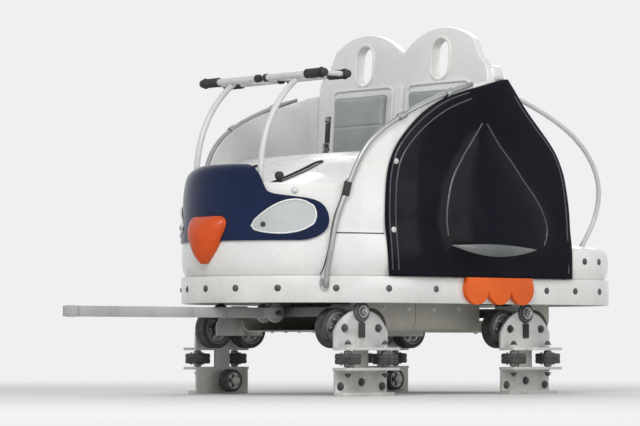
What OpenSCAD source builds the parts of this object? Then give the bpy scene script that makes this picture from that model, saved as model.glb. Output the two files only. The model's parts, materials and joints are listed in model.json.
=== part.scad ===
/* [Body] */
// Length of the body from nose tip to tail
car_len = 2020; // [1850:10:2200]
// Greatest half width of the body at the skirt band
half_w = 575; // [520:5:650]
// Length of the rounded nose in plan
nose_l = 730; // [690:5:790]
// Corner radius of the tail in plan
tail_r = 280; // [150:5:400]
// Underside of the skirt band above the floor
band_z = 391; // [385:1:420]
// Height of the skirt band
band_h = 113; // [80:1:140]
// Wall of the skirt band
band_wall = 12; // [6:1:20]
// Wall of the moulded shells
shell_wall = 10; // [6:1:16]
// Wall of the black hood that covers the nose
hood_wall = 8; // [5:1:12]
// Gap between shells that lie over each other
shell_gap = 0.9; // [0.9:0.1:3]

/* [Seats] */
// Station of the face of the seat back, behind the nose tip
seat_back_s = 1080; // [1035:5:1115]
// Distance between the middles of the two seats
seat_pitch = 500; // [460:10:540]
// Height of the top of the headrest humps
hump_top_z = 1620; // [1500:10:1700]
// Thickness of the seat back moulding
back_t = 40; // [25:1:60]
// Height of the seat pan's top
pan_top_z = 800; // [740:5:860]
// Station of the front of the seat
seat_front_s = 620; // [580:10:680]
// Thickness of a seat cushion
cushion_t = 70; // [40:5:100]

/* [Lap bars] */
// Station of the lap bar shaft
bar_shaft_s = 200; // [190:5:250]
// Height of the lap bar shaft
bar_shaft_z = 600; // [560:5:660]
// Sideways place of each lap bar's arm
bar_arm_y = 215; // [205:1:240]
// Radius of the lap bar tube
bar_tube_r = 13; // [10:0.5:18]
// Width of the handle of a lap bar
handle_w = 400; // [300:10:440]
// Distance between the two bars of a handle
handle_gap = 130; // [80:5:150]

/* [Running gear] */
// Station of the front axle
front_axle_s = 465; // [460:5:520]
// Distance between the two axles
wheelbase = 970; // [890:10:1050]
// Sideways place of the rail and of the running wheels
rail_y = 400; // [380:1:440]
// Running wheel diameter
road_d = 170; // [150:2:180]
// Running wheel width
road_w = 60; // [40:2:64]
// Half distance between the two running wheels of a carrier
road_half = 95; // [92:1:110]
// Height of the running wheel's centre
road_z = 285; // [280:1:300]
// Height of the stub axle on which a carrier rocks
stub_z = 355; // [350:1:360]
// Radius of the stub axle
stub_r = 18; // [14:1:20]
// Side wheel diameter
side_d = 110; // [90:2:114]
// Side wheel width
side_w = 45; // [30:1:50]
// Height of the side wheel's centre
side_z = 155; // [150:1:158]
// Upstop wheel diameter
upstop_d = 100; // [80:2:104]
// Upstop wheel width
upstop_w = 50; // [30:1:56]
// Height of the upstop wheel's centre
upstop_z = 58; // [55:1:60]
// Radial running clearance of every bearing
fit = 0.05; // [0.02:0.01:0.1]

/* [Coupling] */
// Station of the drawbar's pivot
bar_pivot_s = 355; // [335:1:360]
// Length of the drawbar between its pivot and its eye
drawbar_len = 1060; // [900:10:1200]
// Height of the middle of the drawbar
drawbar_z = 352; // [345:1:356]
// Bore radius of the drawbar's front eye
eye_bore_r = 12.5; // [8:0.5:15]
// Distance of the rear coupler's bore from the tail
coupler_in = 190; // [170:5:240]

/* [Hidden] */
CORNERS = [["front_left", 0, 1], ["front_right", 0, -1], ["rear_left", 1, 1], ["rear_right", 1, -1]];
SEATS = [["left", 1], ["right", -1]];
WHEELS = ["road_wheel_fore", "road_wheel_aft", "side_wheel_fore", "side_wheel_aft", "upstop_wheel"];

// The X axis points forward and its zero is the middle of the overall length.
eye_r = 34;
bar_reach = drawbar_len - bar_pivot_s;
nose_x = (car_len - bar_reach - eye_r) / 2;
function at(s) = nose_x - s;
axle_s = [front_axle_s, front_axle_s + wheelbase];
seam_s = axle_s[0] + wheelbase / 2;
coupler_s = car_len - coupler_in;
band_top = band_z + band_h;
seat = 0.3;
floor_z = band_top + seat;
floor_t = 12;

white = [0.86, 0.86, 0.84];
black = [0.05, 0.06, 0.1];
orange = [0.95, 0.35, 0.08];
steel = [0.75, 0.76, 0.76];
rubber = [0.12, 0.12, 0.12];

// A sheet between two grids of points with rows and columns alike, closed along its four borders.
module sheet(outer, inner, flip = false) {
    ni = len(outer);
    nj = len(outer[0]);
    n = ni * nj;
    pts = concat([for (r = outer, p = r) p], [for (r = inner, p = r) p]);
    quads = [for (i = [0:ni - 2], j = [0:nj - 2])
        let (a = i * nj + j, b = a + 1, c = a + nj + 1, d = a + nj) [a, b, c, d]];
    ends = [for (j = [0:nj - 2]) let (l = (ni - 1) * nj + j) each [
        [j + 1, j, n + j], [j + 1, n + j, n + j + 1],
        [l, l + 1, n + l + 1], [l, n + l + 1, n + l]]];
    sides = [for (i = [0:ni - 2]) let (a = i * nj, d = a + nj, b = a + nj - 1, c = d + nj - 1) each [
        [a, d, n + d], [a, n + d, n + a],
        [c, b, n + b], [c, n + b, n + c]]];
    faces = concat([for (q = quads) each [[q[0], q[1], q[2]], [q[0], q[2], q[3]]]],
        [for (q = quads) each [[n + q[2], n + q[1], n + q[0]], [n + q[3], n + q[2], n + q[0]]]],
        ends, sides);
    polyhedron(pts, flip ? [for (f = faces) [f[2], f[1], f[0]]] : faces, convexity = 8);
}

// A solid through closed rings of points, with flat ends.
module loft(rings, flip = false) {
    m = len(rings);
    n = len(rings[0]);
    faces = concat(
        [for (i = [0:m - 2], j = [0:n - 1]) let (k = (j + 1) % n) each [
            [i * n + j, i * n + k, (i + 1) * n + k], [i * n + j, (i + 1) * n + k, (i + 1) * n + j]]],
        [[for (j = [n - 1:-1:0]) j], [for (j = [0:n - 1]) (m - 1) * n + j]]);
    polyhedron([for (r = rings, p = r) p],
        flip ? [for (f = faces) [for (k = [len(f) - 1:-1:0]) f[k]]] : faces, convexity = 6);
}

function unit(v) = v / norm(v);
// Points of a tube swept along a path in one plane whose normal is nrm.
module tube(path, r, nrm = [0, 1, 0], sides = 10) {
    m = len(path) - 1;
    rings = [for (i = [0:m]) let (
        t = unit(path[min(i + 1, m)] - path[max(i - 1, 0)]), u = unit(cross(nrm, t)), v = cross(t, u))
        [for (k = [0:sides - 1]) path[i] + r * (cos(360 * k / sides) * u + sin(360 * k / sides) * v)]];
    loft(rings, true);
}
// A quadratic curve through three guide points, in n steps.
function bend(a, b, c, n) = [for (i = [0:n]) let (t = i / n)
    (1 - t) * (1 - t) * a + 2 * t * (1 - t) * b + t * t * c];

// The nose is half an ellipse in plan: w is a level's half width and tip its front station.
function rim_deg(tip, s) = s <= tip ? 0 : s < nose_l ? acos((nose_l - s) / (nose_l - tip)) : 90;
function wide(w, tip, s) = w * sin(rim_deg(tip, s));
// The point of a level's rim at an angle from the middle of the nose, positive to the left.
function rim(z, w, tip, deg) = [at(nose_l - (nose_l - tip) * cos(deg)), w * sin(deg), z];
// The tail has round corners: distance along its rim from the middle to x, and the point at a distance.
function tail_reach(w, r, tip, x) = w - r + r * PI / 180 * (x < tip + r ? acos(1 - (x - tip) / r) : 90)
    + max(0, x - tip - r);
function tail_rim(z, w, r, tip, u) = let (a = abs(u), f = w - r, q = r * PI / 2, g = u < 0 ? -1 : 1)
    a <= f ? [at(car_len - tip), u, z]
    : a < f + q ? let (p = (a - f) / r * 180 / PI)
        [at(car_len - tip - r * (1 - cos(p))), g * (f + r * sin(p)), z]
    : [at(car_len - tip - r - a + f + q), g * w, z];

// Levels of the nose: height, inset of the half width, tip station, station where the side panels meet it.
nose_levels = [[band_top + seat, 17, 20, 272], [530, 7, 6, 275], [560, 1, 1, 280], [600, 0, 0, 288],
    [640, 3, 3, 296], [700, 10, 8, 309], [760, 14, 12, 324], [820, 16, 16, 347], [870, 21, 21, 366],
    [895, 24, 24, 376]];
function nose_inset(z) = lookup(z, [for (l = nose_levels) [l[0], l[1]]]);
function nose_tip(z) = lookup(z, [for (l = nose_levels) [l[0], l[2]]]);
nose_cols = 26;
function nose_grid(off) = [for (l = nose_levels) let (
    w = half_w - l[1] - off, tip = l[2] + off, end = rim_deg(tip, l[3]))
    [for (j = [0:nose_cols]) rim(l[0], w, tip, end * (1 - 2 * j / nose_cols))]];
module nose_shell() {
    color(white) sheet(nose_grid(0), nose_grid(shell_wall));
}

// Levels of the hood: height, inset, tip station, station of its rear edge.
hood_proud = shell_gap + hood_wall;
hood_levels = [[652, 3.4, 3.4, 213], [672, 5, 4.2, 262], [705, 9.4, 7.4, 290], [745, 13, 11, 298],
    [785, 14.5, 13, 288], [808, 15, 13.5, 270], [820, 15, 14, 250], [828, 15.5, 14, 226], [833, 16, 14, 200],
    [838, 16.5, 14.5, 170], [843, 17, 14.5, 140], [850, 17.5, 15, 112], [862, 19, 15.5, 100],
    [890, 23.5, 17, 96], [925, 44, 20, 90], [950, 84, 30, 91], [964, 128, 46, 95], [970, 160, 62, 98]];
hood_cols = 26;
function hood_grid(off) = [for (l = hood_levels) let (
    w = half_w - l[1] + off, tip = l[2] - off, end = rim_deg(tip, l[3]))
    [for (j = [0:hood_cols]) rim(l[0] + (l[0] > 900 ? off : 0), w, tip, end * (1 - 2 * j / hood_cols))]];
module hood() {
    color(black) sheet(hood_grid(hood_proud), hood_grid(shell_gap));
}

// Level of the hood's skin at a height, by linear steps in its table.
function hood_level(z, k) = lookup(z, [for (l = hood_levels) [l[0], l[k]]]);
function on_hood(deg, z, off) = rim(z, half_w - hood_level(z, 1) + off, hood_level(z, 2) - off, deg);
// The eye is a drop on the side of the nose: angle along the rim, height of its middle, half height.
eye_cols = [[23.4, 714, 3], [24.4, 716, 14], [26.2, 721, 29], [29.2, 730, 46], [32.8, 740, 61],
    [36.5, 748, 70], [40.2, 754, 71], [43.4, 757, 64], [45.9, 758, 50], [47.8, 758, 33], [48.7, 758, 13]];
eye_rows = 6;
eye_t = 5;
eye_lift = 0.9;
function eye_grid(off) = [for (i = [0:eye_rows]) [for (c = eye_cols)
    on_hood(c[0], c[1] + c[2] * (2 * i / eye_rows - 1), hood_proud + off)]];
module eyes() {
    color([0.8, 0.82, 0.82]) for (m = [0, 1]) mirror([0, m, 0])
        sheet(eye_grid(eye_t), eye_grid(eye_lift), true);
}
pupil_deg = 28.6;
pupil_z = 719;
pupil_lift = 1.6;
pupil_r = 11;
pupil_t = 3;
module pupils() {
    out = hood_proud + eye_t;
    len_x = nose_l - hood_level(pupil_z, 2) + out;
    len_y = half_w - hood_level(pupil_z, 1) + out;
    turn = atan2(len_x * sin(pupil_deg), len_y * cos(pupil_deg));
    color("black") for (m = [0, 1]) mirror([0, m, 0])
        translate(on_hood(pupil_deg, pupil_z, out)) rotate([0, 90, turn])
            translate([0, 0, pupil_lift]) cylinder(h = pupil_t, r = pupil_r);
}

// Levels of the beak: height, half width, reach ahead of what it sits on.
beak_levels = [[556, 14, 26], [572, 33, 40], [600, 58, 54], [630, 78, 64], [649, 89, 67], [651, 90, 58],
    [672, 101, 60], [700, 113, 56], [728, 119, 46], [746, 112, 33], [757, 92, 20]];
beak_sides = 14;
hood_foot = hood_levels[0][0];
beak_gap = 0.5;
// What carries the beak is the nose below the hood's foot and the hood above it.
function beak_seat(z, y) = let (
    low = z < hood_foot - 1.5,
    tip = low ? nose_tip(z) : hood_level(z, 2) - hood_proud,
    w = half_w - (low ? nose_inset(z) : hood_level(z, 1) - hood_proud))
    nose_l - (nose_l - tip) * sqrt(1 - pow(y / w, 2)) - beak_gap;
module beak() {
    color(orange) loft([for (l = beak_levels) concat(
        [for (k = [0:beak_sides]) let (y = l[1] * cos(180 * k / beak_sides))
            [at(beak_seat(l[0], y)) + l[2] * sin(180 * k / beak_sides), y, l[0]]],
        [for (k = [beak_sides - 1:-1:1]) let (y = 0.94 * l[1] * cos(180 * k / beak_sides))
            [at(beak_seat(l[0], y)), y, l[0]]])]);
}

// Plan of the body at the skirt, drawn inset.
plan_steps = 20;
module plan(inset) {
    w = half_w - inset;
    tail_s = car_len - tail_r;
    union() {
        polygon(concat(
            [for (k = [-plan_steps:plan_steps]) let (p = rim(0, w, inset, 90 * k / plan_steps)) [p[0], p[1]]],
            [[at(tail_s), w], [at(tail_s), -w]]));
        translate([at(car_len - inset), -half_w + tail_r]) square([tail_r - inset, 2 * (half_w - tail_r)]);
        for (g = [-1, 1]) translate([at(tail_s), g * (half_w - tail_r)]) circle(r = tail_r - inset, $fn = 96);
    }
}
flange_w = 45;
module skirt_band() {
    color(white) {
        translate([0, 0, band_z]) linear_extrude(band_h) difference() {
            plan(0);
            plan(band_wall);
        }
        translate([0, 0, band_top - 8]) linear_extrude(8) difference() {
            plan(band_wall - 1);
            plan(flange_w);
        }
    }
}

// Chassis: two rails, cross members and outriggers that carry the band's flange.
rail_half = 250;
rail_tube_w = 50;
frame_z = band_z + 9;
frame_top = band_top - 8.3;
kingpin_r = 20;
rail_front_s = 130;
rail_back_s = car_len - 140;
cross_list = [rail_front_s, axle_s[0], seam_s, axle_s[1], coupler_s - 65];
cross_w = [60, 120, 60, 120, 60];
outrigger_s = [650, 1230];
outrigger_w = 50;
module chassis_frame() {
    color(steel) difference() {
        union() {
            for (g = [-1, 1])
                translate([at(rail_back_s), g * rail_half - rail_tube_w / 2, frame_z])
                    cube([rail_back_s - rail_front_s, rail_tube_w, frame_top - frame_z]);
            for (i = [0:len(cross_list) - 1])
                translate([at(cross_list[i] + cross_w[i] / 2), -rail_half, frame_z])
                    cube([cross_w[i], 2 * rail_half, frame_top - frame_z]);
            for (s = outrigger_s, g = [-1, 1]) let (
                y = wide(half_w - band_wall, band_wall, s - outrigger_w / 2) - 0.3)
                translate([at(s + outrigger_w / 2), g < 0 ? -y : rail_half, frame_z + 20])
                    cube([outrigger_w, y - rail_half, frame_top - frame_z - 20]);
            translate([at(bar_pivot_s + 60), -70, frame_z]) cube([120, 140, frame_top - frame_z]);
            translate([at(bar_pivot_s), -rail_half, frame_z + 20]) cube([40, 2 * rail_half, 40]);
        }
        for (s = axle_s)
            translate([at(s), 0, frame_z - 1]) cylinder(h = 90, r = kingpin_r + fit);
        translate([at(bar_pivot_s), 0, frame_z - 1]) cylinder(h = 90, r = kingpin_r + fit);
    }
}

pivot_disc_r = 60;
coupler_half = 40;

// The smooth pan hung between the rails, open at its top, in two halves with a seam.
pan_half = 280;
pan_z = 272;
pan_wall = 6;
pan_front_s = bar_pivot_s + pivot_disc_r + 12;
pan_back_s = coupler_s - coupler_half - 20;
pan_r = 60;
axle_slot = 100;
axle_slot_z = 322;
module pan_profile(in) {
    difference() {
        union() {
            translate([-pan_half + in, pan_z + pan_r]) square([2 * (pan_half - in), 200]);
            translate([-pan_half + pan_r, pan_z + in]) square([2 * (pan_half - pan_r), 100]);
            for (g = [-1, 1]) translate([g * (pan_half - pan_r), pan_z + pan_r])
                circle(r = pan_r - in, $fn = 64);
        }
        translate([-pan_half - 1, frame_z - 0.3]) square([2 * pan_half + 2, 300]);
    }
}
module under_pan() {
    color([0.78, 0.76, 0.7]) difference() {
        for (span = [[pan_front_s, seam_s - 1.5], [seam_s + 1.5, pan_back_s]])
            translate([at(span[1]), 0, 0]) rotate([90, 0, 90]) linear_extrude(span[1] - span[0])
                difference() {
                    pan_profile(0);
                    pan_profile(pan_wall);
                }
        for (s = axle_s)
            translate([at(s + axle_slot), -pan_half - 5, axle_slot_z])
                cube([2 * axle_slot, 2 * pan_half + 10, 200]);
    }
}

// Floor plate inside the nose and under the seats.
floor_edge = 40;
module floor_pan() {
    color(white) translate([0, 0, floor_z]) linear_extrude(floor_t) difference() {
        plan(floor_edge);
        translate([at(2400), -700]) square([2400 - seat_back_s - 60, 1400]);
    }
}

// Inner panel behind the nose, which holds the lap bar shaft's ends.
dash_l = 98;
dash_h = 160;
dash_back = 60;
dash_half = wide(half_w - nose_levels[0][1] - shell_wall, nose_levels[0][2] + shell_wall,
    bar_shaft_s + dash_back - dash_l) - 12;
module dash_panel() {
    color(white) for (g = [-1, 1]) difference() {
        translate([at(bar_shaft_s + dash_back), g * dash_half - 6, floor_z + floor_t + 0.3])
            cube([dash_l, 12, dash_h]);
        translate([at(bar_shaft_s), g * dash_half - 10, bar_shaft_z]) rotate([-90, 0, 0])
            cylinder(h = 20, r = shaft_r + fit);
    }
}
shaft_r = 14;
module bar_shaft() {
    color(steel) translate([at(bar_shaft_s), -dash_half - 14, bar_shaft_z]) rotate([-90, 0, 0])
        cylinder(h = 2 * (dash_half + 14), r = shaft_r);
}

// Levels of a side panel: height, inset, front station, rear station.
side_levels = [[band_top + seat, 17, 274, 1555], [530, 7, 277, 1555], [560, 1, 282, 1555],
    [600, 0, 290, 1550], [645, 3, 299, 1540], [678, 8, 306, 1525], [686, 16, 308, 1520], [740, 16, 320, 1440],
    [800, 17, 341, 1350], [860, 20, 364, 1285], [900, 22, 380, 1250], [980, 20, 409, 1218],
    [1060, 17, 451, 1198], [1125, 14, 519, 1188], [1180, 12, 602, 1182], [1230, 10, 704, 1177],
    [1275, 8, 824, 1172], [1320, 6, 972, 1168], [1360, 5, 1090, 1163]];
function side_inset(z) = lookup(z, [for (l = side_levels) [l[0], l[1]]]);
side_cols = 12;
function side_grid(off) = [for (l = side_levels) [for (j = [0:side_cols]) let (
    s = l[2] + (l[3] - l[2]) * pow(j / side_cols, 1.5),
    w = half_w - l[1] - off, tip = nose_tip(l[0]) + off)
    [at(s), wide(w, tip, s), l[0]]]];
module side_panels() {
    color(white) for (m = [0, 1]) mirror([0, m, 0]) sheet(side_grid(0), side_grid(shell_wall));
}

// Seat back with two humps, and the bench under the cushions.
back_top_half = half_w - side_levels[len(side_levels) - 1][1] - shell_wall - 2;
hump_r = 345;
hump_z = hump_top_z - hump_r;
wing_top_z = side_levels[len(side_levels) - 1][0];
shoulder = [[back_top_half - 4, wing_top_z + 46], [back_top_half - 26, wing_top_z + 84],
    [back_top_half - 70, wing_top_z + 124]];
back_foot_z = floor_z + floor_t + 0.3;
lean = 4;
hole_w = 110;
hole_h = 180;
hole_z = hump_top_z - 140;
module oval(w, h) {
    union() {
        for (g = [-1, 1]) translate([0, g * (h - w) / 2]) circle(r = w / 2, $fn = 48);
        translate([-w / 2, -(h - w) / 2]) square([w, h - w]);
    }
}
// The seat back's edges follow the inside of the side panels, then round over to the humps.
back_foot = 700;
back_levels = [for (l = side_levels) if (l[0] > back_foot) l];
function back_side(g) = concat([for (k = [0:len(back_levels) - 1]) let (l = back_levels[k])
    [g * (half_w - l[1] - shell_wall - 2), k == 0 ? back_foot : l[0]]],
    [for (p = shoulder) [g * p[0], p[1]]], [[g * (seat_pitch / 2 + hump_r / 2), hump_top_z]]);
module back_outline() {
    edge = back_side(1);
    difference() {
        intersection() {
            union() {
                for (g = [-1, 1]) translate([g * seat_pitch / 2, hump_z]) circle(r = hump_r, $fn = 96);
                translate([-half_w, back_foot]) square([2 * half_w, hump_z - back_foot]);
            }
            polygon(concat(back_side(-1), [for (k = [len(edge) - 1:-1:0]) edge[k]]));
        }
        for (g = [-1, 1]) translate([g * seat_pitch / 2, hole_z]) oval(hole_w, hole_h);
    }
}
// Places what is drawn in the seat back's plane, with Z along the plane's rearward normal.
module on_back() {
    translate([at(seat_back_s), 0, pan_top_z]) rotate([0, -lean, 0]) translate([0, 0, -pan_top_z])
        rotate([90, 0, -90]) children();
}
bench_half = half_w - 75;
bench_t = 12;
module seat_shell() {
    color(white) {
        on_back() linear_extrude(back_t) back_outline();
        difference() {
            translate([at(seat_back_s + 10), -bench_half, back_foot_z])
                cube([seat_back_s + 10 - seat_front_s, 2 * bench_half, pan_top_z - back_foot_z]);
            translate([at(seat_back_s + 20), -bench_half + bench_t, back_foot_z - 1])
                cube([seat_back_s + 20 - seat_front_s - bench_t, 2 * (bench_half - bench_t),
                    pan_top_z - back_foot_z - bench_t + 1]);
        }
    }
}
pad_w = 360;
pad_t = 30;
pad_z = [pan_top_z + cushion_t + 20, hole_z - hole_h / 2 - 40];
module back_pads() {
    color([0.6, 0.62, 0.62]) on_back() for (g = [-1, 1])
        translate([g * seat_pitch / 2 - pad_w / 2, pad_z[0], -pad_t - 0.3])
            cube([pad_w, pad_z[1] - pad_z[0], pad_t]);
}
cushion_w = 440;
module seat_cushions() {
    color([0.6, 0.62, 0.62]) for (g = [-1, 1])
        translate([at(seat_back_s - 6), g * seat_pitch / 2 - cushion_w / 2, pan_top_z + 0.3])
            cube([seat_back_s - 6 - seat_front_s - 20, cushion_w, cushion_t]);
}
strap_w = 30;
strap_gap = 50;
strap_y = seat_pitch / 2 + pad_w / 2 + strap_gap;
strap_z = [1020, 1260];
module seat_straps() {
    color("black") on_back() for (g = [-1, 1])
        translate([g * strap_y - strap_w / 2, strap_z[0], -6.3]) cube([strap_w, strap_z[1] - strap_z[0], 6]);
}

// A flipper's pointed arch: height, front station, rear station.
flipper_levels = [[band_top + seat, 541, 1614], [600, 536, 1615], [700, 532, 1615], [780, 533, 1613],
    [831, 536, 1608], [890, 541, 1600], [965, 551, 1581], [1040, 575, 1543], [1100, 618, 1492],
    [1160, 672, 1426], [1220, 748, 1360], [1270, 844, 1310], [1292, 904, 1292], [1308, 968, 1278],
    [1328, 1042, 1260], [1346, 1110, 1242], [1358, 1152, 1232], [1368, 1186, 1220]];
// The lobe that stands out of it: height, front station, rear station, how far it stands out.
lobe_levels = [[545, 1060, 1140, 0], [570, 935, 1285, 14], [605, 872, 1368, 24], [660, 836, 1440, 31],
    [720, 826, 1476, 34], [780, 830, 1462, 34], [842, 842, 1411, 31], [905, 864, 1345, 27],
    [972, 893, 1278, 23], [1030, 928, 1212, 19], [1086, 972, 1147, 15], [1130, 1012, 1106, 10],
    [1172, 1056, 1080, 0]];
skin_z = 600;
flipper_gap = 0.4;
flipper_wall = 8;
flipper_crown = 14;
flipper_rows = 21;
flipper_shares = concat([0, 0.01, 0.035], [for (k = [0:17]) 0.08 + 0.84 * k / 17], [0.965, 0.99, 1]);
function level_of(table, z, k) = lookup(z, [for (l = table) [l[0], l[k]]]);
function lobe_out(s, z) = let (
    a = level_of(lobe_levels, z, 1), b = level_of(lobe_levels, z, 2), u = (s - a) / (b - a))
    u <= 0 || u >= 1 ? 0 : level_of(lobe_levels, z, 3) * pow(sin(180 * u), 0.6);
// The side of the body at a station and height: the band up to skin_z and the side panel above it.
function flank(s, z) = z < skin_z ? wide(half_w, 0, s) : wide(half_w - 0.9 * side_inset(z), nose_tip(z), s);
flipper_z = [flipper_levels[0][0], flipper_levels[len(flipper_levels) - 1][0]];
function flipper_grid(off) = [for (i = [0:flipper_rows]) let (
    z = flipper_z[0] + (flipper_z[1] - flipper_z[0]) * (1 - pow(1 - i / flipper_rows, 1.35)),
    a = level_of(flipper_levels, z, 1), b = level_of(flipper_levels, z, 2))
    [for (f = flipper_shares) let (s = a + (b - a) * f, crown = flipper_crown * pow(sin(180 * f), 0.45))
        [at(s), flank(s, z) + flipper_gap + crown + (off > 0 ? lobe_out(s, z) + off : 0), z]]];
module flippers() {
    color(black) for (m = [0, 1]) mirror([0, m, 0]) sheet(flipper_grid(flipper_wall), flipper_grid(0));
}

// The webbed foot on the band: three round toes under a bar.
foot_s = [951, 1358];
foot_t = 24;
module webbed_feet() {
    toe_r = (foot_s[1] - foot_s[0]) / 6;
    color(orange) for (g = [-1, 1])
        translate([at(foot_s[1]), g > 0 ? half_w + 0.3 + foot_t : -half_w - 0.3, 0]) rotate([90, 0, 0])
            linear_extrude(foot_t) intersection() {
                union() {
                    for (k = [0:2]) translate([toe_r * (2 * k + 1), band_z + toe_r - 4])
                        circle(r = toe_r, $fn = 48);
                    translate([8, band_z + toe_r - 4]) square([6 * toe_r - 16, band_h - toe_r + 4]);
                }
                translate([0, band_z - 10]) square([6 * toe_r, band_h + 10]);
            }
}

// Levels of the tail: height, inset, tail inset, front station.
tail_levels = [[band_top + seat, 17, 18, 1557], [530, 7, 4, 1557], [560, 1, 0, 1557], [600, 0, 0, 1555],
    [628, 8, 8, 1550], [646, 26, 26, 1545], [655, 60, 60, 1545]];
tail_cols = 34;
function tail_grid(off) = [for (l = tail_levels) let (
    z = l[0] - (l[0] > 640 ? off : 0), w = half_w - l[1] - off, r = tail_r - l[1] - off, tip = l[2] + off,
    end = tail_reach(w, r, tip, car_len - l[3]))
    [for (j = [0:tail_cols]) tail_rim(z, w, r, tip, end * (1 - 2 * j / tail_cols))]];
module tail_cover() {
    color(white) sheet(tail_grid(0), tail_grid(shell_wall), true);
}
tail_top = tail_levels[len(tail_levels) - 1];
deck_t = 10;
deck_edge = 1.6;
deck_z = tail_top[0] - shell_wall - deck_t - 0.5;
deck_front_s = seat_back_s + back_t / cos(lean) - (pan_top_z - deck_z) * tan(lean) + 0.4;
module rear_deck() {
    color(white) translate([0, 0, deck_z]) linear_extrude(deck_t) difference() {
        plan(tail_top[1] + shell_wall + deck_edge);
        translate([at(deck_front_s), -half_w]) square([car_len, 2 * half_w]);
    }
}

// Grab rail along the wing's front edge, from the band to the flipper's top.
rail_r = 11;
rail_path = [[270, 452], [273, 512], [281, 560], [298, 650], [318, 740], [340, 800], [366, 866], [388, 930],
    [415, 1000], [454, 1068], [518, 1128], [606, 1186], [724, 1242], [866, 1298], [1004, 1338]];
module grab_rails() {
    color(steel) for (m = [0, 1]) mirror([0, m, 0])
        tube([for (p = rail_path) let (
            o = rail_r + 1.6, low = p[1] < skin_z,
            w = half_w - (low ? 0 : side_inset(p[1])), tip = low ? 0 : nose_tip(p[1]))
            [at(p[0]), wide(w + o, tip - o, p[0]), p[1]]],
            rail_r, [0, 1, 0], 8);
}
// Points of a rear hoop, from the flipper's top to the deck: share of its reach, height, inset.
hoop_lead = 180;
hoop_end = 130;
hoop_from_s = seat_back_s + hoop_lead;
hoop_back_s = car_len - hoop_end;
hoop_pts = [[0, 1306, 32], [0.13, 1286, 32], [0.35, 1238, 37], [0.58, 1178, 45], [0.76, 1110, 57],
    [0.9, 1030, 70], [0.98, 945, 83], [1, 860, 95], [0.97, 775, 105], [0.91, 705, 113], [0.85, 652, 119]];
hoop_foot_r = 22;
hoop_foot_t = 8;
function hoop_at(p) = [at(hoop_from_s + p[0] * (hoop_back_s - hoop_from_s)), half_w - p[2], p[1]];
module rear_hoops() {
    foot = hoop_at(hoop_pts[len(hoop_pts) - 1]);
    color(steel) for (m = [0, 1]) mirror([0, m, 0]) {
        tube([for (p = hoop_pts) hoop_at(p)], rail_r, [0, 1, 0], 8);
        translate([foot[0], foot[1], deck_z + deck_t + seat]) cylinder(h = hoop_foot_t, r = hoop_foot_r);
    }
}

// Rear coupler: a fork under the chassis, open to the rear.
coupler_gap = 56;
coupler_plate = 14;
coupler_len = 90;
coupler_from_s = coupler_s - coupler_len;
module rear_coupler() {
    color(steel) difference() {
        union() {
            for (z = [drawbar_z + coupler_gap / 2, drawbar_z - coupler_gap / 2 - coupler_plate]) {
                translate([at(coupler_s), 0, z]) cylinder(h = coupler_plate, r = coupler_half);
                translate([at(coupler_s), -coupler_half, z])
                    cube([coupler_s - coupler_from_s, 2 * coupler_half, coupler_plate]);
            }
            translate([at(coupler_from_s + 40), -coupler_half, drawbar_z - coupler_gap / 2])
                cube([40, 2 * coupler_half, frame_z - 0.3 - drawbar_z + coupler_gap / 2]);
        }
        translate([at(coupler_s), 0, 0]) cylinder(h = 600, r = eye_bore_r);
    }
}

// Drawbar: a pivot disc with its pin, a flat bar and a front eye.
drawbar_t = 44;
drawbar_w = 50;
knuckle_r = 42;
knuckle_half = 44;
cheek_t = 14;
knuckle_pin_r = 14;
knuckle_pin_out = 12;
module drawbar() {
    color(steel) difference() {
        union() {
            translate([at(bar_pivot_s), 0, drawbar_z - drawbar_t / 2])
                cylinder(h = drawbar_t, r = pivot_disc_r);
            translate([at(bar_pivot_s), 0, drawbar_z])
                cylinder(h = frame_top - 12 - drawbar_z, r = kingpin_r);
            translate([at(bar_pivot_s), -drawbar_w / 2, drawbar_z - drawbar_t / 2])
                cube([drawbar_len, drawbar_w, drawbar_t]);
            translate([at(bar_pivot_s) + drawbar_len, 0, drawbar_z - drawbar_t / 2])
                cylinder(h = drawbar_t, r = eye_r);
            for (y = [-knuckle_half, knuckle_half - cheek_t])
                translate([at(bar_pivot_s), y, drawbar_z]) rotate([-90, 0, 0])
                    cylinder(h = cheek_t, r = knuckle_r);
            translate([at(bar_pivot_s), -knuckle_half - knuckle_pin_out, drawbar_z]) rotate([-90, 0, 0])
                cylinder(h = 2 * (knuckle_half + knuckle_pin_out), r = knuckle_pin_r);
        }
        translate([at(bar_pivot_s) + drawbar_len, 0, drawbar_z - 100]) cylinder(h = 200, r = eye_bore_r);
    }
}

// Axle beam: centre box with its kingpin, and a stub axle to each side.
beam_half = 325;
beam_w = 70;
beam_t = 40;
stub_out = 478;
module axle_beam(i) {
    color(steel) translate([at(axle_s[i]), 0, 0]) {
        translate([-beam_w / 2, -beam_half, stub_z - beam_t / 2]) cube([beam_w, 2 * beam_half, beam_t]);
        translate([0, 0, stub_z]) cylinder(h = frame_top - 12 - stub_z, r = kingpin_r);
        translate([0, -stub_out, stub_z]) rotate([-90, 0, 0]) cylinder(h = 2 * stub_out, r = stub_r);
    }
}

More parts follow.
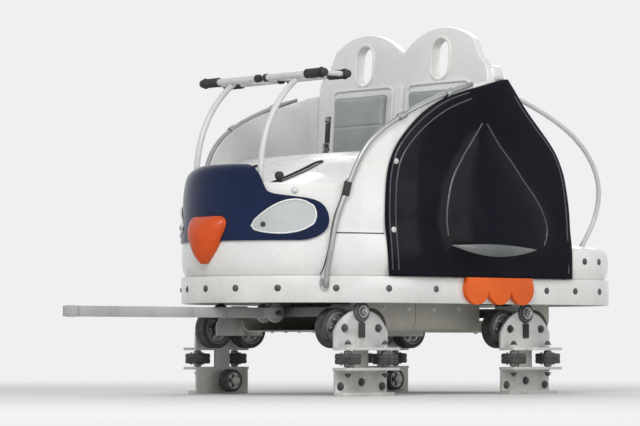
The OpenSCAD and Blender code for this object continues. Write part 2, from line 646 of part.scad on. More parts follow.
// Lap bar: a sleeve on the shaft, a bent arm, and a handle of two bars.
sleeve_r = 22;
sleeve_w = 90;
arm_path = concat([[bar_shaft_s - 10, bar_shaft_z + 14]],
    bend([122, 900], [114, 1190], [330, 1352], 9));
handle_s = [312, 312 + handle_gap];
handle_z = 1362;
module lap_bar(g) {
    color(steel) translate([0, g * bar_arm_y, 0]) {
        difference() {
            union() {
                translate([at(bar_shaft_s), -sleeve_w / 2, bar_shaft_z]) rotate([-90, 0, 0])
                    cylinder(h = sleeve_w, r = sleeve_r);
                tube([for (p = arm_path) [at(p[0]), 0, p[1]]], bar_tube_r);
            }
            translate([at(bar_shaft_s), -sleeve_w, bar_shaft_z]) rotate([-90, 0, 0])
                cylinder(h = 2 * sleeve_w, r = shaft_r + fit);
        }
        for (s = handle_s) translate([at(s), -handle_w / 2, handle_z]) rotate([-90, 0, 0])
            cylinder(h = handle_w, r = bar_tube_r + 2);
        for (y = [-handle_w / 2 + 30, 0, handle_w / 2 - 30]) translate([at(handle_s[1]), y, handle_z])
            rotate([0, 90, 0]) cylinder(h = handle_gap, r = bar_tube_r - 2);
    }
}

// Wheel carrier, drawn with its stub axle at x = 0 and the rail at y = rail_y, for the left side.
cheek_y = rail_y - 55;
plate_y = rail_y + 55;
plate_t = 12;
shelf_out = 545;
shelf_half = 150;
shelf_z = [side_z + side_w / 2 + 14, side_z - side_w / 2 - 14];
boss_r = 28;
side_half = 105;
side_y = rail_y + 44.5 + side_d / 2 + 1;
pin_r = 10;
module carrier() {
    arch_bottom = shelf_z[0];
    color(steel) difference() {
        union() {
            translate([0, plate_y + plate_t, 0]) rotate([90, 0, 0]) linear_extrude(plate_t) union() {
                intersection() {
                    translate([0, 200]) circle(r = 165, $fn = 96);
                    translate([-shelf_half, arch_bottom]) square([2 * shelf_half, 183]);
                }
                translate([-40, 60]) square([80, arch_bottom - 50]);
                translate([-145, 0]) square([290, shelf_z[1]]);
            }
            translate([0, cheek_y, 0]) rotate([90, 0, 0]) linear_extrude(10) intersection() {
                translate([0, 250]) circle(r = 140, $fn = 96);
                translate([-130, 255]) square([260, 130]);
            }
            for (z = [shelf_z[0], shelf_z[1] - plate_t])
                translate([-shelf_half, plate_y, z]) cube([2 * shelf_half, shelf_out - plate_y, plate_t]);
            translate([0, cheek_y - 9, stub_z]) rotate([-90, 0, 0])
                cylinder(h = plate_y - cheek_y + 20, r = boss_r);
            for (x = [-road_half, road_half]) translate([x, cheek_y - 10, road_z]) rotate([-90, 0, 0])
                cylinder(h = plate_y + plate_t - cheek_y + 20, r = pin_r);
            for (x = [-side_half, side_half]) translate([x, side_y, shelf_z[1] - plate_t - 6])
                cylinder(h = shelf_z[0] - shelf_z[1] + 2 * plate_t + 12, r = pin_r);
            translate([0, rail_y - upstop_w / 2 - 16, upstop_z]) rotate([-90, 0, 0])
                cylinder(h = plate_y + plate_t + 12 - rail_y + upstop_w / 2 + 16, r = pin_r);
            translate([0, rail_y - upstop_w / 2 - 16, upstop_z]) rotate([-90, 0, 0]) cylinder(h = 8, r = 18);
            translate([-145, plate_y + plate_t - 1, 0]) cube([290, 50, 14]);
        }
        translate([0, cheek_y - 50, stub_z]) rotate([-90, 0, 0]) cylinder(h = 250, r = stub_r + fit);
    }
}
// A wheel about Y with a tyre, hub and bore, centred on the origin.
module wheel(d, w, hub_w) {
    r = d / 2;
    rim_r = r - 18;
    color(rubber) rotate([90, 0, 0]) rotate_extrude($fn = 96) polygon([[pin_r + fit, -hub_w / 2],
        [pin_r + 12, -hub_w / 2], [pin_r + 14, -w / 2 + 14], [rim_r - 8, -w / 2 + 8], [rim_r, -w / 2],
        [r - 5, -w / 2], [r, -w / 2 + 6], [r, w / 2 - 6], [r - 5, w / 2], [rim_r, w / 2],
        [rim_r - 8, w / 2 - 8], [pin_r + 14, w / 2 - 14], [pin_r + 12, hub_w / 2], [pin_r + fit, hub_w / 2]]);
}
road_hub = plate_y - cheek_y - 4;
side_hub = shelf_z[0] - shelf_z[1] - 4;
upstop_hub = upstop_w + 12;
module carrier_wheel(k) {
    if (k == 0) translate([road_half, rail_y, road_z]) wheel(road_d, road_w, road_hub);
    if (k == 1) translate([-road_half, rail_y, road_z]) wheel(road_d, road_w, road_hub);
    if (k == 2) translate([side_half, side_y, side_z]) rotate([90, 0, 0]) wheel(side_d, side_w, side_hub);
    if (k == 3) translate([-side_half, side_y, side_z]) rotate([90, 0, 0]) wheel(side_d, side_w, side_hub);
    if (k == 4) translate([0, rail_y, upstop_z]) wheel(upstop_d, upstop_w, upstop_hub);
}
module at_corner(c) {
    translate([at(axle_s[c[1]]), 0, 0]) mirror([0, c[2] > 0 ? 0 : 1, 0]) children();
}

chassis_frame();
under_pan();
skirt_band();
nose_shell();
hood();
eyes();
pupils();
beak();
floor_pan();
dash_panel();
bar_shaft();
side_panels();
seat_shell();
back_pads();
seat_cushions();
seat_straps();
flippers();
webbed_feet();
tail_cover();
rear_deck();
grab_rails();
rear_hoops();
rear_coupler();
drawbar();
axle_beam(0);  // front_axle
axle_beam(1);  // rear_axle
for (s = SEATS)
    lap_bar(s[1]);
for (c = CORNERS)
    at_corner(c) carrier();
for (c = CORNERS, k = [0:len(WHEELS) - 1])
    at_corner(c) carrier_wheel(k);
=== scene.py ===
import json
import math

import bmesh
import bpy
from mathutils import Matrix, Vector
from mathutils.bvhtree import BVHTree


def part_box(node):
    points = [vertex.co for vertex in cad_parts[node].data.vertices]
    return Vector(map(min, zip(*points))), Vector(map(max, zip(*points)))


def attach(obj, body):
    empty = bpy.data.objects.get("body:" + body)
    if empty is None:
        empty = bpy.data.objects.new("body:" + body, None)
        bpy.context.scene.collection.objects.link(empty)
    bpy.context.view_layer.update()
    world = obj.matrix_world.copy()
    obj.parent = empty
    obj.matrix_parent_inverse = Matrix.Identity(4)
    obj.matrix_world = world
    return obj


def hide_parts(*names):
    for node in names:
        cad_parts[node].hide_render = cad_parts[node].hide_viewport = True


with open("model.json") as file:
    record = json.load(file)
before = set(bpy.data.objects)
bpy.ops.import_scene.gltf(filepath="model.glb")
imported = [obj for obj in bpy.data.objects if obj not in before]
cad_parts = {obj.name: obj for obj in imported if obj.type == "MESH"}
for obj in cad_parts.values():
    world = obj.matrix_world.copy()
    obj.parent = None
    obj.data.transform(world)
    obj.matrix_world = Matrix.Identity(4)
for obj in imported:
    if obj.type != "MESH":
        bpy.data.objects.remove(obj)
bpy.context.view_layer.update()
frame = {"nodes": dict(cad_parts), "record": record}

nodes = frame["nodes"]
joints = {joint["child"]: joint for joint in frame["record"]["behaviour"]["joints"]}
slotOf = {row["node"]: row["material_slot"] for row in frame["record"]["subparts"]}
sides = {1: "left", -1: "right"}
corners = {"front_left": 1, "front_right": -1, "rear_left": 1, "rear_right": -1}
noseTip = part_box("skirt_band")[1][0]


def at(station):
    return noseTip - station  # a station is the distance behind the nose tip


def bothSides(out):
    return sides if out else (1,)  # what lies on the middle line is placed once


def lookAt(piece, target):
    piece.rotation_euler = (Vector(target) - piece.location).to_track_quat("-Z", "Y").to_euler()


# Camera at the left front quarter, low over the floor that the car stands on
cameraSetup = {"azimuth": 139, "height": 0.2, "distance": 13.8, "target": (0.0, 0.0, 0.79), "lens": 178,
               "farClip": 100}


def setCamera():
    turn = math.radians(cameraSetup["azimuth"])
    reach = cameraSetup["distance"]
    bpy.ops.object.camera_add(location=(math.sin(turn) * reach, -math.cos(turn) * reach,
                                        cameraSetup["height"]))
    camera = bpy.context.object
    lookAt(camera, cameraSetup["target"])
    camera.data.lens = cameraSetup["lens"]
    camera.data.clip_end = cameraSetup["farClip"]
    bpy.context.scene.camera = camera


setCamera()
print("camera set")


# Materials: every finish is built from the same few node steps
def fill(tree, node, inputs):
    for key, value in inputs.items():
        socket = node.inputs[key]
        if isinstance(value, bpy.types.NodeSocket):
            tree.links.new(value, socket)
        else:
            socket.default_value = (*value, 1) if socket.type == "RGBA" else value


def addNode(tree, kind, inputs, **settings):
    node = tree.nodes.new("ShaderNode" + kind)
    for key, value in settings.items():
        setattr(node, key, value)
    fill(tree, node, inputs)
    return node


def freshMaterial(name):
    material = bpy.data.materials.new(name)
    material.use_nodes = True
    tree = material.node_tree
    return material, tree, tree.nodes["Principled BSDF"]


def objectPoints(tree, stretch=(1, 1, 1), turn=(0, 0, 0)):
    coords = addNode(tree, "TexCoord", {}).outputs["Object"]
    return addNode(tree, "Mapping", {"Vector": coords, "Scale": stretch, "Rotation": turn}).outputs["Vector"]


def noiseOf(tree, points, scale, detail=4.0, roughness=0.55):
    inputs = {"Vector": points, "Scale": scale, "Detail": detail, "Roughness": roughness}
    return addNode(tree, "TexNoise", inputs).outputs["Fac"]


def spread(tree, value, low, high, outLow=0.0, outHigh=1.0):
    inputs = {"Value": value, "From Min": low, "From Max": high, "To Min": outLow, "To Max": outHigh}
    return addNode(tree, "MapRange", inputs, interpolation_type="SMOOTHSTEP").outputs["Result"]


def mixColors(tree, share, first, second):
    return addNode(tree, "Mix", {0: share, 6: first, 7: second}, data_type="RGBA").outputs[2]


def combined(tree, operation, first, second):
    return addNode(tree, "Math", {0: first, 1: second}, operation=operation).outputs[0]


def product(tree, first, second):
    return combined(tree, "MULTIPLY", first, second)


def bumpOf(tree, height, strength, distance, below=None):
    inputs = {"Height": height, "Strength": strength, "Distance": distance}
    if below is not None:
        inputs["Normal"] = below
    return addNode(tree, "Bump", inputs).outputs["Normal"]


# A paint has two colours that vary over the surface, a dirt colour for its streaks and specks that also
# darkens it towards the bottom, the range of its roughness, and what differs from the usual look
usualLook = {"streaks": 0.2, "specks": 0.25, "darkerBelow": None, "lowShare": 0.6, "wave": 0.1, "grain": 0.08,
             "grainScale": 260.0, "metallic": 0.0, "coat": 0.0, "specular": 0.5}
paintScales = {"cloud": 3.0, "streak": (16, 16, 1.6), "speck": 90.0, "darkerBelowEdge": 7.0, "rough": 11.0,
               "wave": 6.0, "waveDepth": 0.004, "grainDepth": 0.0006, "coatRoughness": 0.08}


def paintFinish(name, first, second, dirt, roughness, changes):
    look = {**usualLook, **changes}
    material, tree, shader = freshMaterial(name)
    points = objectPoints(tree)
    cloud = spread(tree, noiseOf(tree, points, paintScales["cloud"]), 0.35, 0.65)
    color = mixColors(tree, cloud, first, second)
    streaks = spread(tree, noiseOf(tree, objectPoints(tree, paintScales["streak"]), 1.0, 5), 0.52, 0.78)
    specks = spread(tree, noiseOf(tree, points, paintScales["speck"], 3, 0.7), 0.64, 0.74)
    layers = [(streaks, look["streaks"]), (specks, look["specks"])]
    # below a height the colour is darkened towards the dirt colour
    if look["darkerBelow"]:
        height = addNode(tree, "SeparateXYZ", {"Vector": points}).outputs["Z"]
        edge = spread(tree, noiseOf(tree, points, paintScales["darkerBelowEdge"], 5), 0.3, 0.7, 0.25, 1)
        layers.append((product(tree, spread(tree, height, *look["darkerBelow"], 1.0, 0.0), edge),
                       look["lowShare"]))
    for where, share in layers:
        color = mixColors(tree, product(tree, where, share), color, dirt)
    rough = spread(tree, noiseOf(tree, points, paintScales["rough"], 5), 0.3, 0.7, *roughness)
    wave = bumpOf(tree, noiseOf(tree, points, paintScales["wave"], 2), look["wave"],
                  paintScales["waveDepth"])
    fine = noiseOf(tree, points, look["grainScale"], 3)
    grain = bumpOf(tree, fine, look["grain"], paintScales["grainDepth"], wave)
    fill(tree, shader, {"Base Color": color, "Roughness": rough, "Normal": grain,
                        "Metallic": look["metallic"], "Coat Weight": look["coat"],
                        "Coat Roughness": paintScales["coatRoughness"],
                        "Specular IOR Level": look["specular"]})
    return material


finishes = {
    "white_shell": ((0.8, 0.8, 0.775), (0.745, 0.75, 0.735), (0.4, 0.385, 0.34), (0.2, 0.4),
                    {"coat": 0.4, "streaks": 0.16, "specks": 0.3, "darkerBelow": (0.4, 0.62), "lowShare": 0.3,
                     "wave": 0.035, "grain": 0.05}),
    "black_shell": ((0.003, 0.003, 0.006), (0.005, 0.005, 0.011), (0.05, 0.05, 0.052), (0.12, 0.26),
                    {"coat": 0.02, "specular": 0.08, "streaks": 0.04, "specks": 0.1, "wave": 0.2}),
    # the hood's navy is partly its own black-navy and partly a painted reflection of the sky
    "navy_painted_sky_shell": ((0.005, 0.011, 0.042), (0.007, 0.016, 0.06), (0.07, 0.075, 0.09), (0.12, 0.26),
                   {"coat": 0.04, "specular": 0.16, "streaks": 0.05, "specks": 0.12, "wave": 0.15}),
    "bead_black": ((0.02, 0.022, 0.03), (0.03, 0.032, 0.04), (0.12, 0.12, 0.12), (0.15, 0.3),
                   {"coat": 0.5}),
    "hub_paint": ((0.36, 0.36, 0.35), (0.28, 0.28, 0.27), (0.08, 0.07, 0.05), (0.35, 0.6),
                  {"metallic": 0.5, "streaks": 0.5, "specks": 0.5}),
    # the rails' darker grey is partly galvanised steel and partly painted shade
    "rail_steel_partly_painted_shade": ((0.4, 0.41, 0.41), (0.32, 0.33, 0.33), (0.14, 0.13, 0.11), (0.28, 0.45),
                   {"metallic": 0.55, "streaks": 0.3, "specks": 0.4}),
    "drawbar_paint": ((0.46, 0.46, 0.45), (0.38, 0.38, 0.37), (0.13, 0.11, 0.08), (0.35, 0.6),
                      {"streaks": 0.5, "specks": 0.5, "grain": 0.2}),
    # the flipper lip's light grey is a painted reflection under the lobe
    "lip_painted_reflection": ((0.14, 0.15, 0.145), (0.09, 0.1, 0.1), (0.07, 0.07, 0.07), (0.2, 0.35),
                 {"coat": 0.3}),
    "orange_shell": ((0.8, 0.13, 0.006), (0.68, 0.09, 0.005), (0.28, 0.1, 0.035), (0.28, 0.48),
                     {"coat": 0.12, "specular": 0.3, "streaks": 0.3, "specks": 0.3}),
    # a darker, redder copy of the feet's orange: painted shade on the beak
    "beak_orange_painted_shade": ((0.68, 0.085, 0.006), (0.55, 0.06, 0.005), (0.25, 0.09, 0.03), (0.28, 0.48),
                    {"coat": 0.12, "specular": 0.3, "streaks": 0.3, "specks": 0.3}),
    "eye_shell": ((0.5, 0.54, 0.535), (0.44, 0.48, 0.48), (0.35, 0.35, 0.33), (0.2, 0.35),
                  {"coat": 0.4}),
    "pupil_black": ((0.01, 0.01, 0.012), (0.02, 0.02, 0.022), (0.08, 0.08, 0.08), (0.15, 0.3),
                    {"coat": 0.5}),
    "frame_paint": ((0.27, 0.28, 0.28), (0.2, 0.2, 0.2), (0.09, 0.075, 0.06), (0.4, 0.65),
                    {"streaks": 0.5, "specks": 0.5, "darkerBelow": (0.3, 0.5), "grain": 0.2}),
    "carrier_paint": ((0.66, 0.67, 0.64), (0.55, 0.56, 0.54), (0.2, 0.17, 0.12), (0.35, 0.6),
                      {"metallic": 0.15, "streaks": 0.55, "specks": 0.5, "darkerBelow": (0.0, 0.2),
                       "lowShare": 0.4, "grain": 0.25, "grainScale": 160.0}),
    "pan_paint": ((0.56, 0.54, 0.48), (0.48, 0.465, 0.42), (0.25, 0.22, 0.17), (0.35, 0.6),
                  {"streaks": 0.45, "specks": 0.35}),
    "tube_paint": ((0.66, 0.67, 0.66), (0.58, 0.59, 0.58), (0.3, 0.29, 0.27), (0.25, 0.42),
                   {"coat": 0.15, "specks": 0.3}),
    "bare_steel": ((0.45, 0.45, 0.46), (0.38, 0.38, 0.39), (0.15, 0.11, 0.08), (0.25, 0.45),
                   {"metallic": 0.9, "specks": 0.3}),
    "dark_steel": ((0.07, 0.07, 0.075), (0.11, 0.11, 0.11), (0.16, 0.12, 0.09), (0.35, 0.55),
                   {"metallic": 0.4, "specks": 0.4}),
    "black_rubber": ((0.02, 0.02, 0.021), (0.032, 0.032, 0.032), (0.12, 0.11, 0.1), (0.6, 0.8),
                     {"specks": 0.3, "grain": 0.3}),
}
# Two colours that vary over the surface, and one for what is scuffed or worn
textured = {
    "grey_pad": ((0.36, 0.38, 0.38), (0.3, 0.32, 0.325), (0.5, 0.51, 0.5)),
    "black_webbing": ((0.012, 0.012, 0.013), (0.04, 0.04, 0.042), (0.12, 0.115, 0.11)),
    "floor_panel": ((0.5, 0.5, 0.5), (0.34, 0.33, 0.31), (0.66, 0.66, 0.66)),
    "wheel_tyre": ((0.028, 0.026, 0.026), (0.085, 0.08, 0.072)),
}


def vinylFinish(name):
    material, tree, shader = freshMaterial(name)
    first, second, worn = textured[name]
    points = objectPoints(tree)
    color = mixColors(tree, spread(tree, noiseOf(tree, points, 5.0), 0.35, 0.65), first, second)
    scuffs = spread(tree, noiseOf(tree, points, 26.0, 6, 0.7), 0.6, 0.72)
    cells = addNode(tree, "TexVoronoi", {"Vector": points, "Scale": 420.0}).outputs["Distance"]
    creases = bumpOf(tree, noiseOf(tree, points, 22.0, 3), 0.25, 0.003)
    fill(tree, shader, {"Base Color": mixColors(tree, product(tree, scuffs, 0.35), color, worn),
                        "Normal": bumpOf(tree, cells, 0.35, 0.0008, creases), "Sheen Weight": 0.08,
                        "Roughness": spread(tree, noiseOf(tree, points, 15.0), 0.3, 0.7, 0.42, 0.6)})
    return material


def webbingFinish(name):
    material, tree, shader = freshMaterial(name)
    first, second, worn = textured[name]
    weave = {"Vector": objectPoints(tree, turn=(0.7, 0, 0.4)), "Scale": 120.0, "Distortion": 0.6}
    ribs = addNode(tree, "TexWave", weave).outputs["Fac"]
    fuzz = spread(tree, noiseOf(tree, objectPoints(tree), 60.0), 0.55, 0.7)
    color = mixColors(tree, product(tree, fuzz, 0.3), mixColors(tree, ribs, first, second), worn)
    fill(tree, shader, {"Base Color": color, "Normal": bumpOf(tree, ribs, 0.5, 0.0008), "Roughness": 0.8,
                        "Sheen Weight": 0.2})
    return material


def treadPlateFinish(name):
    material, tree, shader = freshMaterial(name)
    first, second, polished = textured[name]
    bars = []
    for turn in (0.785, -0.785):
        wave = {"Vector": objectPoints(tree, (1, 1, 0.01), (0, 0, turn)), "Scale": 9.0}
        bars.append(spread(tree, addNode(tree, "TexWave", wave).outputs["Fac"], 0.55, 0.9))
    studs = product(tree, *bars)
    worn = spread(tree, noiseOf(tree, objectPoints(tree), 8.0, 6), 0.4, 0.7)
    color = mixColors(tree, product(tree, studs, 0.5), mixColors(tree, worn, first, second), polished)
    fill(tree, shader, {"Base Color": color, "Normal": bumpOf(tree, studs, 0.7, 0.002), "Metallic": 0.7,
                        "Roughness": spread(tree, worn, 0, 1, 0.32, 0.6)})
    return material


def treadFinish(name):
    material, tree, shader = freshMaterial(name)
    points = objectPoints(tree)
    worn = spread(tree, noiseOf(tree, points, 40.0, 6), 0.35, 0.7)
    fill(tree, shader, {"Base Color": mixColors(tree, worn, *textured[name]),
                        "Normal": bumpOf(tree, noiseOf(tree, points, 320.0, 3), 0.3, 0.0008),
                        "Roughness": spread(tree, worn, 0, 1, 0.5, 0.75)})
    return material


paint = {name: paintFinish(name, *finish) for name, finish in finishes.items()}
for name, makeFinish in (("grey_pad", vinylFinish), ("black_webbing", webbingFinish),
                         ("floor_panel", treadPlateFinish), ("wheel_tyre", treadFinish)):
    paint[name] = makeFinish(name)


def paintedWith(piece, finish):
    piece.data.materials.clear()
    piece.data.materials.append(paint[finish])
    return piece


for name, node in nodes.items():
    paintedWith(node, slotOf[name])
print("materials made")


# Small helpers for selecting, editing and finishing
def pick(*pieces):
    bpy.ops.object.select_all(action="DESELECT")
    for piece in pieces:
        piece.select_set(True)
    bpy.context.view_layer.objects.active = pieces[0]


def withModifier(piece, kind, **settings):
    modifier = piece.modifiers.new(kind.title(), kind)
    for key, value in settings.items():
        setattr(modifier, key, value)
    pick(piece)
    bpy.ops.object.modifier_apply(modifier=modifier.name)


def settle(piece):
    pick(piece)
    bpy.ops.object.transform_apply(location=True, rotation=True, scale=True)
    return piece


def smoothBy(piece, degrees):
    pick(piece)
    bpy.ops.object.shade_smooth_by_angle(angle=math.radians(degrees))


def editAll(piece, *steps):
    pick(piece)
    bpy.ops.object.mode_set(mode="EDIT")
    for step in steps:
        bpy.ops.mesh.select_all(action="SELECT")
        step()
    bpy.ops.object.mode_set(mode="OBJECT")


def weld(distance=1e-5):
    bpy.ops.mesh.remove_doubles(threshold=distance)


def faceOut():
    bpy.ops.mesh.normals_make_consistent(inside=False)


def linked(name, data):
    piece = bpy.data.objects.new(name, data)
    bpy.context.scene.collection.objects.link(piece)
    return piece


def fromPoints(name, points, edges, faces):
    mesh = bpy.data.meshes.new(name)
    mesh.from_pydata(points, edges, faces)
    return linked(name, mesh)


def gridFaces(rows, columns):
    width = columns + 1
    return [(i * width + j, (i + 1) * width + j, (i + 1) * width + j + 1, i * width + j + 1)
            for i in range(rows) for j in range(columns)]


def joinPieces(pieces, name):
    pick(*pieces)
    if len(pieces) > 1:
        bpy.ops.object.join()
    joined = bpy.context.object
    joined.name = joined.data.name = name
    return settle(joined)


def finishPiece(piece, finish, body="car", replaced=()):
    if not piece.data.materials:
        paintedWith(piece, finish)
    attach(piece, body)
    if replaced:
        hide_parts(*replaced)
    return piece


def weldedCopy(node, name):
    piece = linked(name, nodes[node].data.copy())
    piece.data.name = name
    piece.data.materials.clear()
    editAll(piece, weld)
    return piece


def creaseSharpEdges(piece, angle, amount):
    mesh = bmesh.new()
    mesh.from_mesh(piece.data)
    layer = mesh.edges.layers.float.get("crease_edge") or mesh.edges.layers.float.new("crease_edge")
    for edge in mesh.edges:
        if len(edge.link_faces) == 2 and edge.calc_face_angle() > math.radians(angle):
            edge[layer] = amount
    mesh.to_mesh(piece.data)
    mesh.free()


# Moulded shells: each keeps its packed form, rounded by subdivision, with its sharp edges creased
shellRound = {"quadAngle": 60, "quadShape": 180, "creaseAngle": 40, "crease": 0.8, "smoothAngle": 50}
shells = {
    "noseShell": ("nose_shell", 2), "hoodShell": ("hood", 2), "eyeShells": ("eyes", 2),
    "beakShell": ("beak", 2), "sidePanels": ("side_panels", 2), "flipperShells": ("flippers", 2),
    "tailCover": ("tail_cover", 2), "grabRails": ("grab_rails", 1), "rearHoops": ("rear_hoops", 1),
}


def smoothShell(node, name, levels):
    piece = weldedCopy(node, name)
    limits = {"face_threshold": math.radians(shellRound["quadAngle"]),
              "shape_threshold": math.radians(shellRound["quadShape"])}
    editAll(piece, lambda: bpy.ops.mesh.tris_convert_to_quads(**limits))
    creaseSharpEdges(piece, shellRound["creaseAngle"], shellRound["crease"])
    withModifier(piece, "SUBSURF", levels=levels, render_levels=levels)
    smoothBy(piece, shellRound["smoothAngle"])
    finishPiece(piece, slotOf[node], replaced=[node])


for name, (node, levels) in shells.items():
    smoothShell(node, name, levels)
print("shells smoothed")


# Hard pieces: each keeps its packed form, with its edges rounded to a width
bevelled = {
    "seatShell": ("seat_shell", "car", 0.014, 4), "skirtBand": ("skirt_band", "car", 0.003, 2),
    "webbedFeet": ("webbed_feet", "car", 0.009, 4), "chassisFrame": ("chassis_frame", "car", 0.003, 2),
    "underPan": ("under_pan", "car", 0.0015, 2), "drawbarArm": ("drawbar", "drawbar", 0.003, 2),
    "rearCoupler": ("rear_coupler", "car", 0.002, 2), "dashPanel": ("dash_panel", "car", 0.003, 2),
    "rearDeck": ("rear_deck", "car", 0.004, 3), "floorPlate": ("floor_pan", "car", 0.0015, 2),
    "frontAxleTube": ("front_axle", "front_axle", 0.002, 2),
    "rearAxleTube": ("rear_axle", "rear_axle", 0.002, 2),
    "barShaft": ("bar_shaft", "car", 0.0008, 1), "pupilDiscs": ("pupils", "car", 0.0015, 2),
}
# the beak's darker orange is painted shade
# the hood's navy holds a painted sky reflection
# the rails' darker grey is partly painted shade
repainted = {"grabRails": "rail_steel_partly_painted_shade", "hoodShell": "navy_painted_sky_shell", "beakShell": "beak_orange_painted_shade",
             "drawbarArm": "drawbar_paint"}


def bevelledCopy(node, name, body, width, segments):
    piece = weldedCopy(node, name)
    editAll(piece, lambda: bpy.ops.mesh.dissolve_limited(angle_limit=math.radians(1)))
    withModifier(piece, "BEVEL", width=width, segments=segments, limit_method="ANGLE",
                 angle_limit=math.radians(35))
    smoothBy(piece, 40)
    finishPiece(piece, slotOf[node], body, [node])


for name, (node, body, width, segments) in bevelled.items():
    bevelledCopy(node, name, body, width, segments)
for corner in corners:
    bevelledCopy(corner + "_carrier", corner + "_carrierBody", corner + "_carrier", 0.002, 2)
for name, finish in repainted.items():
    paintedWith(bpy.data.objects[name], finish)
print("hard pieces bevelled")


# Rays find the shells' surfaces, so that each detail sits on what carries it
rayStart = {"side": 1.2, "end": 1.5, "below": 0.1}


def skinOf(*names):
    points, faces = [], []
    for name in names:
        mesh = bpy.data.objects[name].data
        start = len(points)
        points += [v.co.copy() for v in mesh.vertices]
        faces += [[start + k for k in face.vertices] for face in mesh.polygons]
    return BVHTree.FromPolygons(points, faces)


def spotFrom(skin, origin, direction):
    place, normal, _, _ = skin.ray_cast(Vector(origin), Vector(direction))
    if normal.dot(Vector(direction)) > 0:
        normal = -normal
    return place, normal


def sideSpot(skin, station, height, side):
    return spotFrom(skin, (at(station), side * rayStart["side"], height), (0, -side, 0))


def sideSpots(skin, *places):
    return [sideSpot(skin, station, height, side) for station, height in places for side in sides]


def endSpots(skin, outs, height, end):
    return [spotFrom(skin, (end * rayStart["end"], side * out, height), (-end, 0, 0))
            for out in outs for side in bothSides(out)]


def tubeAlong(name, points, radius, closed=False, fine=6, rounding=3):
    curve = bpy.data.curves.new(name, "CURVE")
    curve.dimensions = "3D"
    curve.bevel_depth = radius
    curve.bevel_resolution = rounding
    curve.resolution_u = fine
    curve.use_fill_caps = not closed
    line = curve.splines.new("BEZIER")
    line.bezier_points.add(len(points) - 1)
    for knot, point in zip(line.bezier_points, points):
        knot.co = point
        knot.handle_left_type = knot.handle_right_type = "AUTO"
    line.use_cyclic_u = closed
    pick(linked(name, curve))
    bpy.ops.object.convert(target="MESH")
    piece = bpy.context.object
    piece.data.name = name
    editAll(piece, lambda: weld(1e-6), faceOut)
    smoothBy(piece, 50)
    return piece


def stand(piece, place, facing):
    piece.rotation_mode = "QUATERNION"
    piece.rotation_quaternion = Vector(facing).to_track_quat("Z", "Y")
    piece.location = place


def turned(name, profile, steps=40, facing=(0, 0, 1), place=(0, 0, 0)):
    # a profile is a list of radius and height, spun round the axis that it faces along
    points = [(radius, 0, height) for radius, height in profile]
    piece = fromPoints(name, points, [(k, k + 1) for k in range(len(points) - 1)], [])
    editAll(piece, lambda: bpy.ops.mesh.spin(steps=steps, angle=math.tau, center=(0, 0, 0), axis=(0, 0, 1)),
            weld, faceOut)
    smoothBy(piece, 35)
    stand(piece, place, facing)
    return settle(piece)


def disc(radius, low, high, chamferOut, chamferUp):
    return [(0, low), (radius, low), (radius, high - chamferUp), (radius - chamferOut, high), (0, high)]


def mirroredRing(half):
    return [*half, *((radius, -height) for radius, height in reversed(half)), half[0]]


def copiesOf(model, name, spots):
    made = []
    for place, facing in spots:
        twin = linked(name, model.data.copy())
        stand(twin, place, facing)
        made.append(twin)
    return joinPieces(made, name)


def roundedBox(name, low, high, width, segments=4):
    bpy.ops.mesh.primitive_cube_add(size=1, location=(Vector(low) + Vector(high)) / 2)
    piece = bpy.context.object
    piece.scale = Vector(high) - Vector(low)
    piece.name = piece.data.name = name
    settle(piece)
    withModifier(piece, "BEVEL", width=width, segments=segments)
    smoothBy(piece, 40)
    return piece


# Fasteners, each modelled once. A washer is a radius and a thickness, and an end a radius and two heights.
fastener = {"headRadius": 0.011, "head": 0.008, "washer": (0.0155, 0.0026), "end": (0.0058, 0.010, 0.0155),
            "edge": 0.0007, "domeRise": 0.005, "domeFoot": 0.0015, "domeArc": (0.15, 1.42),
            "domeWasher": 0.004}


def hexBolt(name, scale):
    radius, thick = fastener["washer"]
    washer = turned(name + "Washer", disc(radius, 0, thick, 0.0006, 0.0006), 24)
    bpy.ops.mesh.primitive_cylinder_add(vertices=6, radius=fastener["headRadius"], depth=fastener["head"],
                                        location=(0, 0, thick + fastener["head"] / 2))
    head = bpy.context.object
    end = turned(name + "End", disc(*fastener["end"], 0.0008, 0.001), 16)
    bolt = joinPieces([washer, head, end], name)
    withModifier(bolt, "BEVEL", width=fastener["edge"], segments=1, angle_limit=math.radians(40))
    bolt.scale = (scale, scale, scale)
    smoothBy(settle(bolt), 35)
    return bolt


def domeBolt(name, radius):
    foot, rise, rim = fastener["domeFoot"], fastener["domeRise"], radius + fastener["domeWasher"]
    start, sweep = fastener["domeArc"]
    arc = [(radius * math.cos(a), foot + rise * math.sin(a))
           for a in (start + sweep * k / 5 for k in range(5))]
    profile = [(0, -0.001), (rim, -0.001), (rim, 0.001), *arc, (0, foot + rise)]
    return turned(name, profile, 20)


# A dome has its radius here, and a hexagon head its scale
boltKinds = {"darkDome": (domeBolt, 0.0105, "dark_steel"), "paleDome": (domeBolt, 0.008, "tube_paint"),
             "steelHex": (hexBolt, 1.0, "bare_steel"), "darkHex": (hexBolt, 1.15, "dark_steel"),
             "bigHex": (hexBolt, 1.75, "bare_steel")}
models = {kind: paintedWith(make(kind, size), finish) for kind, (make, size, finish) in boltKinds.items()}


def fasten(kind, name, spots, body="car"):
    finishPiece(copiesOf(models[kind], name, spots), boltKinds[kind][2], body)


print("fasteners modelled")


# Skirt band: dark round bolt heads all round
bandBolts = {"height": 0.452, "stations": (0.03, 0.126, 0.318, 0.543, 0.796, 1.46, 1.639, 1.8),
             "tailOut": (0.0, 0.19, 0.36)}


def fitBandBolts():
    skin, height = skinOf("skirtBand"), bandBolts["height"]
    spots = sideSpots(skin, *((station, height) for station in bandBolts["stations"]))
    spots += endSpots(skin, bandBolts["tailOut"], height, -1) + endSpots(skin, (0,), height, 1)
    fasten("darkDome", "bandBolts", spots)


fitBandBolts()


